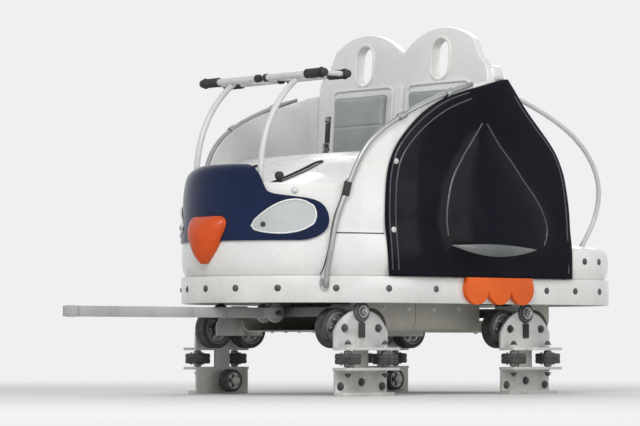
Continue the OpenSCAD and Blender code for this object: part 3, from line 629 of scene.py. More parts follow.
# White deck between the nose and the seat: low behind the dome, rising to a rolled edge over the knees.
# The middle and the edge are lines of station and height, and the dome's plan is a part of an ellipse.
noseDeck = {
    "middle": ((0.088, 0.866), (0.15, 0.884), (0.27, 0.926), (0.38, 0.968), (0.5, 1.016), (0.6, 1.047)),
    "edge": ((0.088, 0.862), (0.2, 0.882), (0.36, 0.887), (0.4, 0.925), (0.44, 0.968), (0.5, 1.0),
             (0.6, 1.028)),
    "domeLength": 0.73, "domeTip": 0.034, "domeHalf": 0.541, "gap": 0.004, "crown": (3.4, 0.7),
    "wall": 0.008, "rows": 36, "columns": 40, "roll": 0.022, "rollTurn": 99, "rollRows": 6,
}
barSlot = {"out": 0.215, "half": 0.024, "end": 0.462, "mouth": 0.03, "low": 0.8, "deep": 0.3, "arcSteps": 12,
           "lip": 0.0045, "lipInset": 0.01, "lipSteps": 8}


def lookUp(table, value):
    for (a, fromA), (b, fromB) in zip(table, table[1:]):
        if value <= b:
            return fromA + (fromB - fromA) * max(0.0, value - a) / (b - a)
    return table[-1][1]


def deckHalf(station):
    length = noseDeck["domeLength"]
    share = max(0.0, (length - station) / (length - noseDeck["domeTip"]))
    return noseDeck["domeHalf"] * math.sqrt(max(0.0, 1 - share * share)) - noseDeck["gap"]


def deckHeight(station, y):
    share = min(1.0, abs(y) / deckHalf(station))
    flat, drop = noseDeck["crown"]
    edge, middle = lookUp(noseDeck["edge"], station), lookUp(noseDeck["middle"], station)
    return edge + (middle - edge) * (1 - share ** flat) ** drop


def deckGrid():
    rows, columns, roll = noseDeck["rows"], noseDeck["columns"], noseDeck["roll"]
    first, last = noseDeck["middle"][0][0], noseDeck["middle"][-1][0]
    grid = []
    for station in (first + (last - first) * i / rows for i in range(rows + 1)):
        for j in range(columns + 1):
            y = deckHalf(station) * math.sin(math.pi * (j / columns - 0.5))
            grid.append(Vector((at(station), y, deckHeight(station, y))))
    knees = grid[rows * (columns + 1):]
    for k in range(1, noseDeck["rollRows"] + 1):
        turn = math.radians(noseDeck["rollTurn"] * k / noseDeck["rollRows"])
        grid += [point - Vector((roll * math.sin(turn), 0, roll * (1 - math.cos(turn)))) for point in knees]
    return grid


def cutSlot(deck, side):
    # a slot that is open to the nose, for a lap bar's arm, with a soft lip along its rim
    first, half, steps = noseDeck["middle"][0][0], barSlot["half"], barSlot["lipSteps"]
    straightEnd, lipStart = barSlot["end"] - half, first + barSlot["lipInset"]
    mouth = first - barSlot["mouth"]
    turns = (math.pi * (k / barSlot["arcSteps"] - 0.5) for k in range(barSlot["arcSteps"] + 1))
    arc = [(straightEnd + half * math.cos(a), half * math.sin(a)) for a in turns]
    straight = [lipStart + (straightEnd - lipStart) * k / steps for k in range(steps)]
    outline = [(mouth, -half), *arc, (mouth, half)]
    rim = [(s, -half) for s in straight] + arc + [(s, half) for s in reversed(straight)]
    middle = side * barSlot["out"]
    cutter = fromPoints("slotCutter", [(at(s), middle + y, barSlot["low"]) for s, y in outline], [],
                        [list(range(len(outline)))])
    rise = {"value": (0, 0, barSlot["deep"])}
    editAll(cutter, lambda: bpy.ops.mesh.extrude_region_move(TRANSFORM_OT_translate=rise), faceOut)
    withModifier(deck, "BOOLEAN", object=cutter, operation="DIFFERENCE", solver="EXACT")
    bpy.data.objects.remove(cutter)
    lip = [(at(s), middle + y, deckHeight(s, middle + y)) for s, y in rim]
    finishPiece(tubeAlong("slotLip_" + sides[side], lip, barSlot["lip"]), "black_rubber")


def makeNoseDeck():
    faces = gridFaces(noseDeck["rows"] + noseDeck["rollRows"], noseDeck["columns"])
    deck = fromPoints("noseDeck", deckGrid(), [], faces)
    editAll(deck, faceOut)
    below = -1 if deck.data.polygons[0].normal.z > 0 else 1  # the wall grows down from the deck's face
    withModifier(deck, "SOLIDIFY", thickness=noseDeck["wall"], offset=below)
    for side in sides:
        cutSlot(deck, side)
    smoothBy(deck, 40)
    finishPiece(deck, "white_shell")


makeNoseDeck()
print("nose deck made")


# Black knobs on white collars beside each lap bar, and a white button on the shell below
deckKnobs = {"station": 0.168, "out": (0.145, 0.288), "lean": (0.25, 0.15), "collarSink": 0.001,
             "knobRise": 0.006,
             "knob": ((0, 0), (0.013, 0), (0.0125, 0.006), (0.009, 0.010), (0.0085, 0.018), (0.014, 0.024),
                      (0.0185, 0.031), (0.0195, 0.040), (0.017, 0.049), (0.011, 0.0545), (0, 0.056)),
             "collar": disc(0.022, 0, 0.009, 0.003, 0.003), "buttonPlace": (0.19, 0.862),
             "button": ((0, -0.002), (0.015, -0.002), (0.0145, 0.004), (0.011, 0.009), (0.005, 0.0115),
                        (0, 0.012))}


def makeKnobs():
    station, lean = deckKnobs["station"], deckKnobs["lean"]
    knobs, collars = [], []
    for side in sides:
        facing = Vector((lean[0], side * lean[1], 1))
        for y in deckKnobs["out"]:
            height = deckHeight(station, y)
            knobs.append(((at(station), side * y, height + deckKnobs["knobRise"]), facing))
            collars.append(((at(station), side * y, height - deckKnobs["collarSink"]), facing))
    skin = skinOf("noseShell", "hoodShell")
    buttons = sideSpots(skin, deckKnobs["buttonPlace"])
    for name, form, finish, spots in (("deckKnobs", "knob", "black_rubber", knobs),
                                      ("knobCollars", "collar", "tube_paint", collars),
                                      ("shellButtons", "button", "tube_paint", buttons)):
        model = turned(form, deckKnobs[form], 28)
        finishPiece(copiesOf(model, name, spots), finish)
        bpy.data.objects.remove(model)


makeKnobs()


# Eye rims: a pale bead round each eye
# A column is an angle along the dome's plan, then a height and a half height in millimetres
eyeRim = {"radius": 0.0042, "inset": 0.05, "lift": 0.0005, "length": 0.73, "half": 0.575,
          "columns": ((24.4, 716, 14), (26.2, 721, 29), (29.2, 730, 46), (32.8, 740, 61), (36.5, 748, 70),
                      (40.2, 754, 71), (43.4, 757, 64), (45.9, 758, 50), (47.8, 758, 33))}


def makeEyeRims():
    skin = skinOf("eyeShells")
    shrink = 1 - eyeRim["inset"]
    upper = [(degrees, z + half * shrink) for degrees, z, half in eyeRim["columns"]]
    lower = [(degrees, z - half * shrink) for degrees, z, half in reversed(eyeRim["columns"])]
    for side, end in sides.items():
        path = []
        for degrees, z in upper + lower:
            turn = math.radians(degrees)
            point = Vector((at(eyeRim["length"] * (1 - math.cos(turn))),
                            side * eyeRim["half"] * math.sin(turn), z / 1000))
            place, normal, _, _ = skin.find_nearest(point)
            outward = normal if normal.y * side > 0 else -normal
            path.append(place + outward * eyeRim["lift"])
        rim = tubeAlong("eyeRim_" + end, path, eyeRim["radius"], True)
        finishPiece(paintedWith(rim, "white_shell"), "eye_shell")


makeEyeRims()
print("nose details made")


# Flippers: beads along both edges, ridges on the lobe, studs, and a grey lip below the lobe whose light grey
# is a painted reflection
flipperBeads = {
    "front": ((0.553, 0.53), (0.549, 0.62), (0.549, 0.72), (0.551, 0.83), (0.566, 0.965), (0.592, 1.04),
              (0.636, 1.10), (0.692, 1.155), (0.770, 1.212), (0.866, 1.262), (0.98, 1.30)),
    "inner": ((0.581, 0.53), (0.577, 0.62), (0.577, 0.72), (0.579, 0.83), (0.594, 0.955), (0.618, 1.02),
              (0.660, 1.078), (0.714, 1.13), (0.79, 1.184), (0.884, 1.234), (0.995, 1.274)),
    "rear": ((1.585, 0.53), (1.588, 0.70), (1.583, 0.83), (1.556, 0.965), (1.517, 1.04), (1.464, 1.10),
             (1.40, 1.155), (1.338, 1.212), (1.288, 1.262), (1.254, 1.30)),
    "ridgeRear": ((1.085, 1.17), (1.155, 1.085), (1.235, 1.01), (1.31, 0.93), (1.385, 0.85), (1.43, 0.78),
                  (1.45, 0.71), (1.425, 0.65)),
    "ridgeFront": ((1.058, 1.17), (0.99, 1.085), (0.935, 1.01), (0.885, 0.92), (0.858, 0.83), (0.846, 0.75),
                   (0.85, 0.68)),
}
beadLook = {"radius": 0.004, "ridgeRadius": 0.0055, "sunk": 0.35, "studs": ((0.565, 0.70), (0.582, 0.99))}
flipperLip = {"from": (0.862, 0.64), "bottom": (1.10, 0.553), "to": (1.375, 0.63), "arch": 0.012,
              "steps": 22, "rows": 6, "lift": 0.0006, "rise": 0.006, "wall": 0.003}


def makeFlipperDetails():
    skin = skinOf("flipperShells")
    for side, end in sides.items():
        beads = []
        for line, points in flipperBeads.items():
            radius = beadLook["ridgeRadius" if line.startswith("ridge") else "radius"]
            sink = Vector((0, side * radius * beadLook["sunk"], 0))
            path = [sideSpot(skin, s, z, side)[0] - sink for s, z in points]
            beads.append(tubeAlong("bead", path, radius))
        finishPiece(joinPieces(beads, "flipperBeads_" + end), "bead_black")
    fasten("paleDome", "flipperStuds", sideSpots(skin, *beadLook["studs"]))


def makeFlipperLips():
    skin = skinOf("flipperShells")
    start, bottom, stop = (Vector(flipperLip[key]) for key in ("from", "bottom", "to"))
    steps, rows = flipperLip["steps"], flipperLip["rows"]
    for side, end in sides.items():
        points = []
        for t in (k / steps for k in range(steps + 1)):
            low = start * (1 - t) ** 2 + bottom * 2 * t * (1 - t) + stop * t ** 2
            high = start * (1 - t) + stop * t
            high.y += flipperLip["arch"] * math.sin(math.pi * t)
            for share in (m / rows for m in range(rows + 1)):
                place, _ = sideSpot(skin, *low.lerp(high, share), side)
                bulge = math.sin(math.pi * share) * math.sin(math.pi * t) * flipperLip["rise"]
                points.append(place + Vector((0, side * (flipperLip["lift"] + bulge), 0)))
        faces = [quad[::-side] for quad in gridFaces(steps, rows)]
        lip = fromPoints("flipperLip_" + end, points, [], faces)
        withModifier(lip, "SOLIDIFY", thickness=flipperLip["wall"], offset=0)
        withModifier(lip, "SUBSURF", levels=1, render_levels=1)
        smoothBy(lip, 60)
        # the lip's grey is a painted reflection under the lobe
        finishPiece(lip, "lip_painted_reflection")


makeFlipperDetails()
makeFlipperLips()
print("flipper details made")


# Seat: everything on the back is placed in the plane of its leaning face
seatBack = {"lean": math.radians(4), "station": 1.08, "panTop": 0.8, "thick": 0.04, "pitch": 0.5}


def onBack(y, up, out):
    rise = up - seatBack["panTop"]
    lean = seatBack["lean"]
    return Vector((at(seatBack["station"]) + out * math.cos(lean) - rise * math.sin(lean), y,
                   seatBack["panTop"] + out * math.sin(lean) + rise * math.cos(lean)))


def leanBack(piece):
    for vertex in piece.data.vertices:
        vertex.co = onBack(vertex.co.y, vertex.co.z, vertex.co.x)
    return piece


# Cushions and back pads: a swollen cloth shell with sewn grooves, and a welt round its rim.
# A groove runs across the axis "along", pressed in from the side that the axis "top" faces.
clothSetup = {"frames": 20, "quality": 5, "mass": 0.3, "bending": 0.6}
weltSetup = {"rays": 72, "fine": 2, "rounding": 2}
padLooks = {
    "cushion": {"node": "seat_cushions", "welt": "cushionWelt_", "width": 0.44, "inset": 0.009,
                "round": 0.02, "voxel": 0.0065, "pressure": 4.0, "stiffness": 12.0, "cap": 0.018,
                "proud": 0.006, "fill": 0.8, "along": 0, "top": 2, "grooves": (0.145, 0.29),
                "grooveDepth": 0.006, "grooveWidth": 0.011, "piping": 0.004, "weltDrop": 0.02,
                "weltSink": 0.0012},
    "backPad": {"node": "back_pads", "welt": "backWelt_", "width": 0.36, "inset": 0.005,
                "round": 0.009, "voxel": 0.006, "pressure": 3.0, "stiffness": 14.0, "cap": 0.009,
                "proud": 0.004, "fill": 0.9, "along": 2, "top": 0, "grooves": (0.155, 0.31),
                "grooveDepth": 0.004, "grooveWidth": 0.009, "piping": 0.0032, "weltDrop": 0.010,
                "weltSink": 0.001, "out": (0.0004, 0.03), "up": (0.89, 1.35)},
}


def inflate(pad, look):
    before = [v.co.copy() for v in pad.data.vertices]
    cloth = pad.modifiers.new("Cloth", "CLOTH")
    cloth.settings.quality = clothSetup["quality"]
    cloth.settings.mass = clothSetup["mass"]
    cloth.settings.tension_stiffness = cloth.settings.compression_stiffness = look["stiffness"]
    cloth.settings.bending_stiffness = clothSetup["bending"]
    cloth.settings.use_pressure = True
    cloth.settings.uniform_pressure_force = look["pressure"]
    cloth.settings.effector_weights.gravity = 0
    cloth.point_cache.frame_end = clothSetup["frames"]
    scene = bpy.context.scene
    for frameNumber in range(1, clothSetup["frames"] + 1):
        scene.frame_set(frameNumber)
    swollen = pad.evaluated_get(bpy.context.evaluated_depsgraph_get())
    after = [v.co.copy() for v in swollen.data.vertices]
    pad.modifiers.remove(cloth)
    scene.frame_set(1)
    for vertex, old, new in zip(pad.data.vertices, before, after):
        move = new - old
        if move.length > look["cap"]:
            move *= look["cap"] / move.length
        vertex.co = old + move


def sewGrooves(pad, low, look):
    facing = Vector([1 if axis == look["top"] else 0 for axis in range(3)])
    for place in (low[look["along"]] + groove for groove in look["grooves"]):
        for vertex in pad.data.vertices:
            off = abs(vertex.co[look["along"]] - place) / look["grooveWidth"]
            if off < 1 and vertex.normal.dot(facing) > 0.25:
                vertex.co -= facing * look["grooveDepth"] * (0.5 + 0.5 * math.cos(math.pi * off))


def makePad(name, low, high, look):
    inset = look["inset"]
    pad = roundedBox(name, [v + inset for v in low], [v - inset for v in high], look["round"], 5)
    withModifier(pad, "REMESH", mode="VOXEL", voxel_size=look["voxel"])
    inflate(pad, look)
    withModifier(pad, "SUBSURF", levels=1, render_levels=1)
    # the side that lies on its seat stays flat, and the rest stays in its space
    for vertex in pad.data.vertices:
        for k in range(3):
            vertex.co[k] = min(max(vertex.co[k], low[k]), high[k] + look["proud"])
    bpy.ops.object.shade_smooth()
    sewGrooves(pad, low, look)
    return pad


def weltRound(name, pad, low, high, look):
    # the welt follows the pad's rim, found by rays from its middle
    skin = skinOf(pad.name)
    middle = (Vector(low) + Vector(high)) / 2
    middle[look["top"]] = high[look["top"]] - look["weltDrop"]
    first, second = [axis for axis in range(3) if axis != look["top"]]
    ring = []
    for k in range(weltSetup["rays"]):
        turn = math.tau * k / weltSetup["rays"]
        ray = Vector((0, 0, 0))
        ray[first] = math.cos(turn) * (high[first] - low[first])
        ray[second] = math.sin(turn) * (high[second] - low[second])
        ray.normalize()
        ring.append(skin.ray_cast(middle, ray)[0] - ray * look["weltSink"])
    return tubeAlong(name, ring, look["piping"], True, weltSetup["fine"], weltSetup["rounding"])


def makePads(kind, look):
    if "up" in look:
        (lowX, highX), (lowZ, highZ) = look["out"], look["up"]
    else:
        (lowX, _, lowZ), (highX, _, highZ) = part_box(look["node"])
    for side, end in sides.items():
        middle, half = side * seatBack["pitch"] / 2, look["width"] / 2
        low, high = (lowX, middle - half, lowZ), (highX, middle + half, highZ)
        pad = makePad(f"{kind}_{end}", low, high, look)
        welt = weltRound(look["welt"] + end, pad, low, high, look)
        if "up" in look:
            leanBack(pad)
            leanBack(welt)
        finishPiece(pad, "grey_pad", replaced=[look["node"]])
        finishPiece(welt, "grey_pad")


for kind, look in padLooks.items():
    makePads(kind, look)
print("cushions and pads sewn")


# Moulded lips on the seat back: round each pad, round each hole, and the ridge between the pads
seatLips = {"padOut": 0.2, "padUp": (0.868, 1.372), "corner": 0.03, "padRadius": 0.008, "padLift": 0.001,
            "holeUp": 1.48, "hole": (0.0595, 0.0945), "holeRadius": 0.0075,
            "ridgeUp": (0.93, 1.375), "ridgeHalf": 0.028, "ridgeOut": (-0.002, 0.016), "ridgeRound": 0.0085}


def roundedLoop(middle, half, low, high, corner):
    path = []
    for y, z, start in ((half - corner, high - corner, 0), (-half + corner, high - corner, 90),
                        (-half + corner, low + corner, 180), (half - corner, low + corner, 270)):
        for k in range(5):
            turn = math.radians(start + 22.5 * k)
            path.append((middle + y + corner * math.cos(turn), z + corner * math.sin(turn)))
    return path


def longHole(middle, across, high):
    # two half circles, the upper one first, with straight sides between them
    path = []
    for start, shift in ((0, high - across), (math.pi, across - high)):
        for turn in (start + math.pi * n / 11 for n in range(12)):
            path.append((middle + across * math.cos(turn),
                         seatLips["holeUp"] + shift + across * math.sin(turn)))
    return path


def makeSeatLips():
    lips = []
    for side in sides:
        middle = side * seatBack["pitch"] / 2
        loops = [(roundedLoop(middle, seatLips["padOut"], *seatLips["padUp"], seatLips["corner"]),
                  seatLips["padLift"], seatLips["padRadius"])]
        for out in (0.0, -seatBack["thick"]):
            loops.append((longHole(middle, *seatLips["hole"]), out, seatLips["holeRadius"]))
        lips += [tubeAlong("lip", [onBack(y, z, out) for y, z in loop], radius, True)
                 for loop, out, radius in loops]
    (back, front), (low, high), half = seatLips["ridgeOut"], seatLips["ridgeUp"], seatLips["ridgeHalf"]
    lips.append(leanBack(roundedBox("ridge", (back, -half, low), (front, half, high),
                                    seatLips["ridgeRound"], 6)))
    finishPiece(joinPieces(lips, "seatLips"), "white_shell")


makeSeatLips()


# Straps: webbing with turned ends, a steel buckle of two wire loops and an anchor bolt at each end
strap = {"y": 0.48, "bevel": 0.0012, "boltUp": (1.038, 1.242), "boltOut": 0.006, "loopUp": (1.09, 1.124),
         "loopHalf": (0.021, 0.012), "loopOut": 0.0085, "wire": 0.0026, "loopShares": (0.12, 0.5, 0.88)}


def makeStraps():
    bevelledCopy("seat_straps", "strapWebbing", "car", strap["bevel"], 2)
    loops, spots = [], []
    outward = onBack(0, 1, 1) - onBack(0, 1, 0)
    halfY, halfUp = strap["loopHalf"]
    for y in (side * strap["y"] for side in sides):
        for up in strap["loopUp"]:
            points = [onBack(y + dy * halfY, up + dz * halfUp, strap["loopOut"])
                      for dy, dz in ((-1, -1), (1, -1), (1, 1), (-1, 1))]
            path = [a.lerp(b, share) for a, b in zip(points, points[1:] + points[:1])
                    for share in strap["loopShares"]]
            loops.append(tubeAlong("buckle", path, strap["wire"], True, fine=3))
        spots += [(onBack(y, up, strap["boltOut"]), outward) for up in strap["boltUp"]]
    finishPiece(joinPieces(loops, "strapBuckles"), "bare_steel")
    fasten("steelHex", "strapBolts", spots)


makeStraps()
print("seat details made")


# Lap bars: a bent arm on a sleeve, a handle of two bars with rungs, black end caps and an outer grip
lapBar = {"shaft": (0.2, 0.6), "armY": 0.215, "tube": 0.013, "bar": 0.015, "rung": 0.011, "half": 0.2,
          "barEnd": 0.196, "handle": (0.312, 0.442), "height": 1.362, "rungs": (-0.17, 0.0, 0.17),
          "armFoot": (0.19, 0.614), "guides": ((0.122, 0.9), (0.114, 1.19), (0.33, 1.352)),
          "bore": 0.0145, "sleeve": 0.022, "sleeveHalf": 0.045, "collar": 0.025, "collarHalf": 0.028,
          "cap": ((0, 0.004), (0.0085, 0.0035), (0.0145, 0), (0.0172, -0.004), (0.0172, -0.022),
                  (0.0158, -0.024), (0.0152, -0.024)),
          "gripStart": 0.078, "gripInner": 0.0155, "ribs": 9, "ribPitch": 0.010,
          "rib": ((0.0205, 0.001), (0.0205, 0.0075), (0.0188, 0.0085), (0.0188, 0.010)),
          "gripEnd": ((0.0225, 0.091), (0.0235, 0.095), (0.0225, 0.0985), (0.0155, 0.0985))}


def gripProfile():
    ribs = [(radius, height + lapBar["ribPitch"] * k)
            for k in range(lapBar["ribs"]) for radius, height in lapBar["rib"]]
    return [(lapBar["gripInner"], 0), *ribs, *lapBar["gripEnd"]]


def makeLapBar(side, end):
    y0, height = side * lapBar["armY"], lapBar["height"]
    a, b, c = (Vector(point) for point in lapBar["guides"])
    bend = [a * (1 - t) ** 2 + b * 2 * t * (1 - t) + c * t * t for t in (k / 9 for k in range(10))]
    lines = [([(at(s), y0, z) for s, z in (lapBar["armFoot"], *bend)], lapBar["tube"])]
    ends = [(s, outward) for s in lapBar["handle"] for outward in (1, -1)]
    lines += [([(at(s), y0, height), (at(s), y0 + outward * lapBar["barEnd"], height)], lapBar["bar"])
              for s, outward in ends]
    lines += [([(at(s), y0 + y, height) for s in lapBar["handle"]], lapBar["rung"]) for y in lapBar["rungs"]]
    pieces = [tubeAlong("tube", points, radius, rounding=5) for points, radius in lines]
    r, half, collar, collarHalf = (lapBar[key] for key in ("sleeve", "sleeveHalf", "collar", "collarHalf"))
    sleeve = mirroredRing([(lapBar["bore"], -half), (r - 0.001, -half), (r, -half + 0.001),
                           (r, -collarHalf - 0.002), (collar, -collarHalf)])
    pieces.append(turned("sleeve", sleeve, 40, (0, 1, 0), (at(lapBar["shaft"][0]), y0, lapBar["shaft"][1])))
    body = "lap_bar_" + end
    finishPiece(joinPieces(pieces, "lapBar_" + end), "tube_paint", body, [body])
    soft = [turned("cap", lapBar["cap"], 24, (0, outward, 0), (at(s), y0 + outward * lapBar["half"], height))
            for s, outward in ends]
    for s in reversed(lapBar["handle"]):
        place = (at(s), y0 + side * lapBar["gripStart"], height)
        soft.append(turned("grip", gripProfile(), 28, (0, side, 0), place))
    finishPiece(joinPieces(soft, "lapGrips_" + end), "black_rubber", body)


for side, end in sides.items():
    makeLapBar(side, end)
print("lap bars made")


# Wheels: a tyre on a dished hub with bolts and bearing seals, one model for each size
wheelKinds = {
    "road": {"radius": 0.085, "half": 0.03, "hubHalf": 0.053, "tread": 0.018, "bolts": 6, "circle": 0.041},
    "side": {"radius": 0.055, "half": 0.0225, "hubHalf": 0.0345, "tread": 0.014, "bolts": 5,
             "circle": 0.0285},
    "upstop": {"radius": 0.05, "half": 0.025, "hubHalf": 0.031, "tread": 0.013, "bolts": 5, "circle": 0.026},
}
wheelShape = {"bore": 0.0102, "neck": 0.019, "dish": 0.010, "boltSink": 0.001,
              "seal": ((0.0005, 0), (0.006, 0), (0.0065, 0.0015), (0.001, 0.0035), (0.0005, 0))}


def wheelModel(kind, look):
    # the profiles run from one face of the wheel to its middle and are mirrored from there
    r, half, hub, rim = look["radius"], look["half"], look["hubHalf"], look["radius"] - look["tread"]
    bore, neck, dish = wheelShape["bore"], wheelShape["neck"], half - wheelShape["dish"]
    tyre = mirroredRing([(rim - 0.001, -half + 0.001), (rim, -half), (r - 0.006, -half),
                         (r - 0.0018, -half + 0.0022), (r, -half + 0.007), (r, -0.0035),
                         (r - 0.0016, -0.0022)])
    body = mirroredRing([(bore, -hub), (neck - 0.003, -hub), (neck - 0.002, -hub + 0.001),
                         (neck, -dish - 0.002), (neck + 0.003, -dish), (rim - 0.010, -dish),
                         (rim - 0.007, -half + 0.003), (rim - 0.0055, -half + 0.001),
                         (rim - 0.0005, -half + 0.001)])
    pieces = [paintedWith(turned("tyre", tyre, 56), "wheel_tyre"),
              paintedWith(turned("hub", body, 48), "hub_paint")]
    seal = [(neck + radius, height) for radius, height in wheelShape["seal"]]
    turns = [math.tau * k / look["bolts"] for k in range(look["bolts"])]
    for face in (1, -1):
        ring = turned("seal", seal, 32, (0, 0, face), (0, 0, face * dish))
        spots = [((look["circle"] * math.cos(turn), look["circle"] * math.sin(turn),
                   face * (dish - wheelShape["boltSink"])), (0, 0, face)) for turn in turns]
        pieces += [paintedWith(ring, "black_rubber"), copiesOf(models["steelHex"], "bolts", spots)]
    return joinPieces(pieces, "wheel_" + kind)


def makeWheels():
    kinds = {kind: wheelModel(kind, look) for kind, look in wheelKinds.items()}
    for body, joint in joints.items():
        for kind, model in kinds.items():
            if f"_{kind}_wheel" in body:
                spots = [(joint["pos_m"], joint["axis"])]
                wheel = copiesOf(model, body.replace("_wheel", "Wheel"), spots)
                finishPiece(wheel, "wheel_tyre", body, [body])
    for model in kinds.values():
        bpy.data.objects.remove(model)


makeWheels()
print("wheels made")


# Carriers: nuts on every pin, a cover over the stub axle, a stop pad below it, and axle end nuts
carrierFit = {"plateY": 0.467, "nutLift": 0.0005, "road": (0.095, 0.285), "side": (0.105, 0.5005),
              "sideUp": ((0.2155, 1), (0.0945, -1)), "foot": (0.118, 0.04), "upstopZ": 0.058,
              "stub": (0.478, 0.355), "stopHalf": 0.016, "stopUp": (0.245, 0.309),
              "stopOut": (0.0004, 0.008), "stopRound": 0.002,
              "cover": ((0.0195, 0), (0.044, 0), (0.0445, 0.004), (0.041, 0.0085), (0.030, 0.010),
                        (0.0285, 0.0145), (0.0195, 0.0145), (0.0195, 0))}


def fitCarriers():
    plate, (stubY, stubZ), (sideX, sideY) = carrierFit["plateY"], carrierFit["stub"], carrierFit["side"]
    (roadX, roadZ), (footX, footZ) = carrierFit["road"], carrierFit["foot"]
    axleEnds = {"front_axle": [], "rear_axle": []}
    for corner, side in corners.items():
        body = corner + "_carrier"
        x = joints[body]["pos_m"][0]
        out = (0, side, 0)
        spots = [((x, side * plate, carrierFit["upstopZ"]), out)]
        for end in (1, -1):
            spots.append(((x + end * roadX, side * (plate + carrierFit["nutLift"]), roadZ), out))
            spots += [((x + end * sideX, side * sideY, z), (0, 0, up)) for z, up in carrierFit["sideUp"]]
            spots.append(((x + end * footX, side * plate, footZ), out))
        fasten("darkHex", body + "Nuts", spots, body)
        cover = turned(corner + "_hubCover", carrierFit["cover"], 40, out, (x, side * plate, stubZ))
        finishPiece(cover, "dark_steel", body)
        (low, high), half = carrierFit["stopUp"], carrierFit["stopHalf"]
        inner, outer = sorted(side * (plate + proud) for proud in carrierFit["stopOut"])
        pad = roundedBox(corner + "_stopPad", (x - half, inner, low), (x + half, outer, high),
                         carrierFit["stopRound"], 3)
        finishPiece(pad, "black_rubber", body)
        axleEnds[corner.split("_")[0] + "_axle"].append(((x, side * stubY, stubZ), out))
    for axle, spots in axleEnds.items():
        fasten("bigHex", axle + "Nuts", spots, axle)


fitCarriers()
print("carriers fitted")


# Grab rails: a dark grip at the knee, pale clamps above and a bolted foot plate on the band.
# A clamp is a station, a height, half its length and how far the rail rises over a short step there.
railFit = {"radius": 0.011, "step": 0.012, "clampWall": 0.0055, "chamfer": (0.0015, 0.003), "gap": 0.0004,
           "grips": ((0.366, 0.866, 0.03, 0.024),),
           "clamps": ((0.606, 1.186, 0.02, 0.006), (0.866, 1.298, 0.02, 0.006)),
           "foot": (0.2745, 0.474), "plate": disc(0.021, 0, 0.0045, 0.0015, 0.0015), "plateLong": 1.7,
           "plateThick": 0.0045, "boltUp": 0.022}


def railCentre(skin, station, height, side):
    place, normal = sideSpot(skin, station, height, side)
    return place - normal * railFit["radius"]


def railClamp(skin, side, station, height, half, rise):
    centre = railCentre(skin, station, height, side)
    ahead = centre - railCentre(skin, station - railFit["step"], height - rise, side)
    inner, outer = railFit["radius"] + railFit["gap"], railFit["radius"] + railFit["clampWall"]
    chamferOut, chamferAlong = railFit["chamfer"]
    profile = mirroredRing([(inner, -half), (outer - chamferOut, -half), (outer, -half + chamferAlong)])
    return turned("clamp", profile, 28, ahead.normalized(), centre)


def fitRails():
    skin, band = skinOf("grabRails"), skinOf("skirtBand")
    dark, pale, spots = [], [], []
    for side in sides:
        dark += [railClamp(skin, side, *clamp) for clamp in railFit["grips"]]
        pale += [railClamp(skin, side, *clamp) for clamp in railFit["clamps"]]
        place, normal = sideSpot(band, *railFit["foot"], side)
        plate = turned("plate", railFit["plate"], 28, normal, place)
        for vertex in plate.data.vertices:
            vertex.co.z = place.z + (vertex.co.z - place.z) * railFit["plateLong"]
        pale.append(plate)
        spots += [(place + normal * railFit["plateThick"] + Vector((0, 0, up)), normal)
                  for up in (-railFit["boltUp"], railFit["boltUp"])]
    finishPiece(joinPieces(dark, "railGrips"), "black_rubber")
    # the clamps share the rails' grey, which is partly painted shade
    clamps = paintedWith(joinPieces(pale, "railClamps"), "rail_steel_partly_painted_shade")
    finishPiece(clamps, "tube_paint")
    fasten("paleDome", "railBolts", spots)


fitRails()


# Corner caps over the joint of wing, seat back and flipper
cornerCap = {"station": 1.176, "out": 0.549, "height": 1.384, "half": (0.034, 0.021, 0.046), "round": 0.017,
             "leanIn": 0.25, "bolts": (-0.015, 0.015), "boltDrop": 0.012, "boltLift": 0.0005}


def makeCornerCaps():
    caps, spots = [], []
    half = Vector(cornerCap["half"])
    for side in sides:
        middle = Vector((at(cornerCap["station"]), side * cornerCap["out"], cornerCap["height"]))
        cap = roundedBox("cap", middle - half, middle + half, cornerCap["round"], 5)
        for vertex in cap.data.vertices:
            vertex.co.y -= side * cornerCap["leanIn"] * max(0.0, vertex.co.z - middle.z)
        caps.append(cap)
        y = side * (half.y + cornerCap["boltLift"])
        spots += [(middle + Vector((along, y, -cornerCap["boltDrop"])), (0, side, 0))
                  for along in cornerCap["bolts"]]
    finishPiece(joinPieces(caps, "cornerCaps"), "white_shell")
    fasten("paleDome", "cornerCapBolts", spots)


makeCornerCaps()


# Dark strips under the wing's ledge and down the seam behind the nose, painted shade of the gaps there, each
# with how deep it is sunk
shadeStrips = {"radius": 0.0032, "ledge": [(0.316 + 0.0355 * k, 0.6835) for k in range(7)], "ledgeSink": 0.0008,
         "seam": ((0.2705, 0.512), (0.2755, 0.54), (0.281, 0.575), (0.2885, 0.61), (0.297, 0.65),
                  (0.307, 0.70), (0.322, 0.76), (0.344, 0.82), (0.362, 0.868)), "seamSink": 0.0016}


def makeShadeStrips():
    skin = skinOf("sidePanels", "noseShell")
    made = []
    for side in sides:
        for line in ("ledge", "seam"):
            spots = [sideSpot(skin, s, z, side) for s, z in shadeStrips[line]]
            path = [place - normal * shadeStrips[line + "Sink"] for place, normal in spots]
            made.append(tubeAlong("seal", path, shadeStrips["radius"]))
    # black strips that stand for the shadow in the gaps: painted shade
    finishPiece(joinPieces(made, "shellShadeStrips"), "black_rubber")


makeShadeStrips()


# Bolts that hold the tail cover and the rear of the seat back, and the drawbar's nuts and bush
rearBolts = {"coverStations": (1.6, 1.7, 1.8), "coverHeight": 0.585, "coverOut": (0.0, 0.16, 0.32),
             "backOut": (0.1, 0.4), "backUp": (0.95, 1.18)}
drawbarFit = {"nutSink": 0.004, "eyeBack": 0.034,
              "bush": ((0.0127, -0.0235), (0.019, -0.0235), (0.02, -0.0225))}


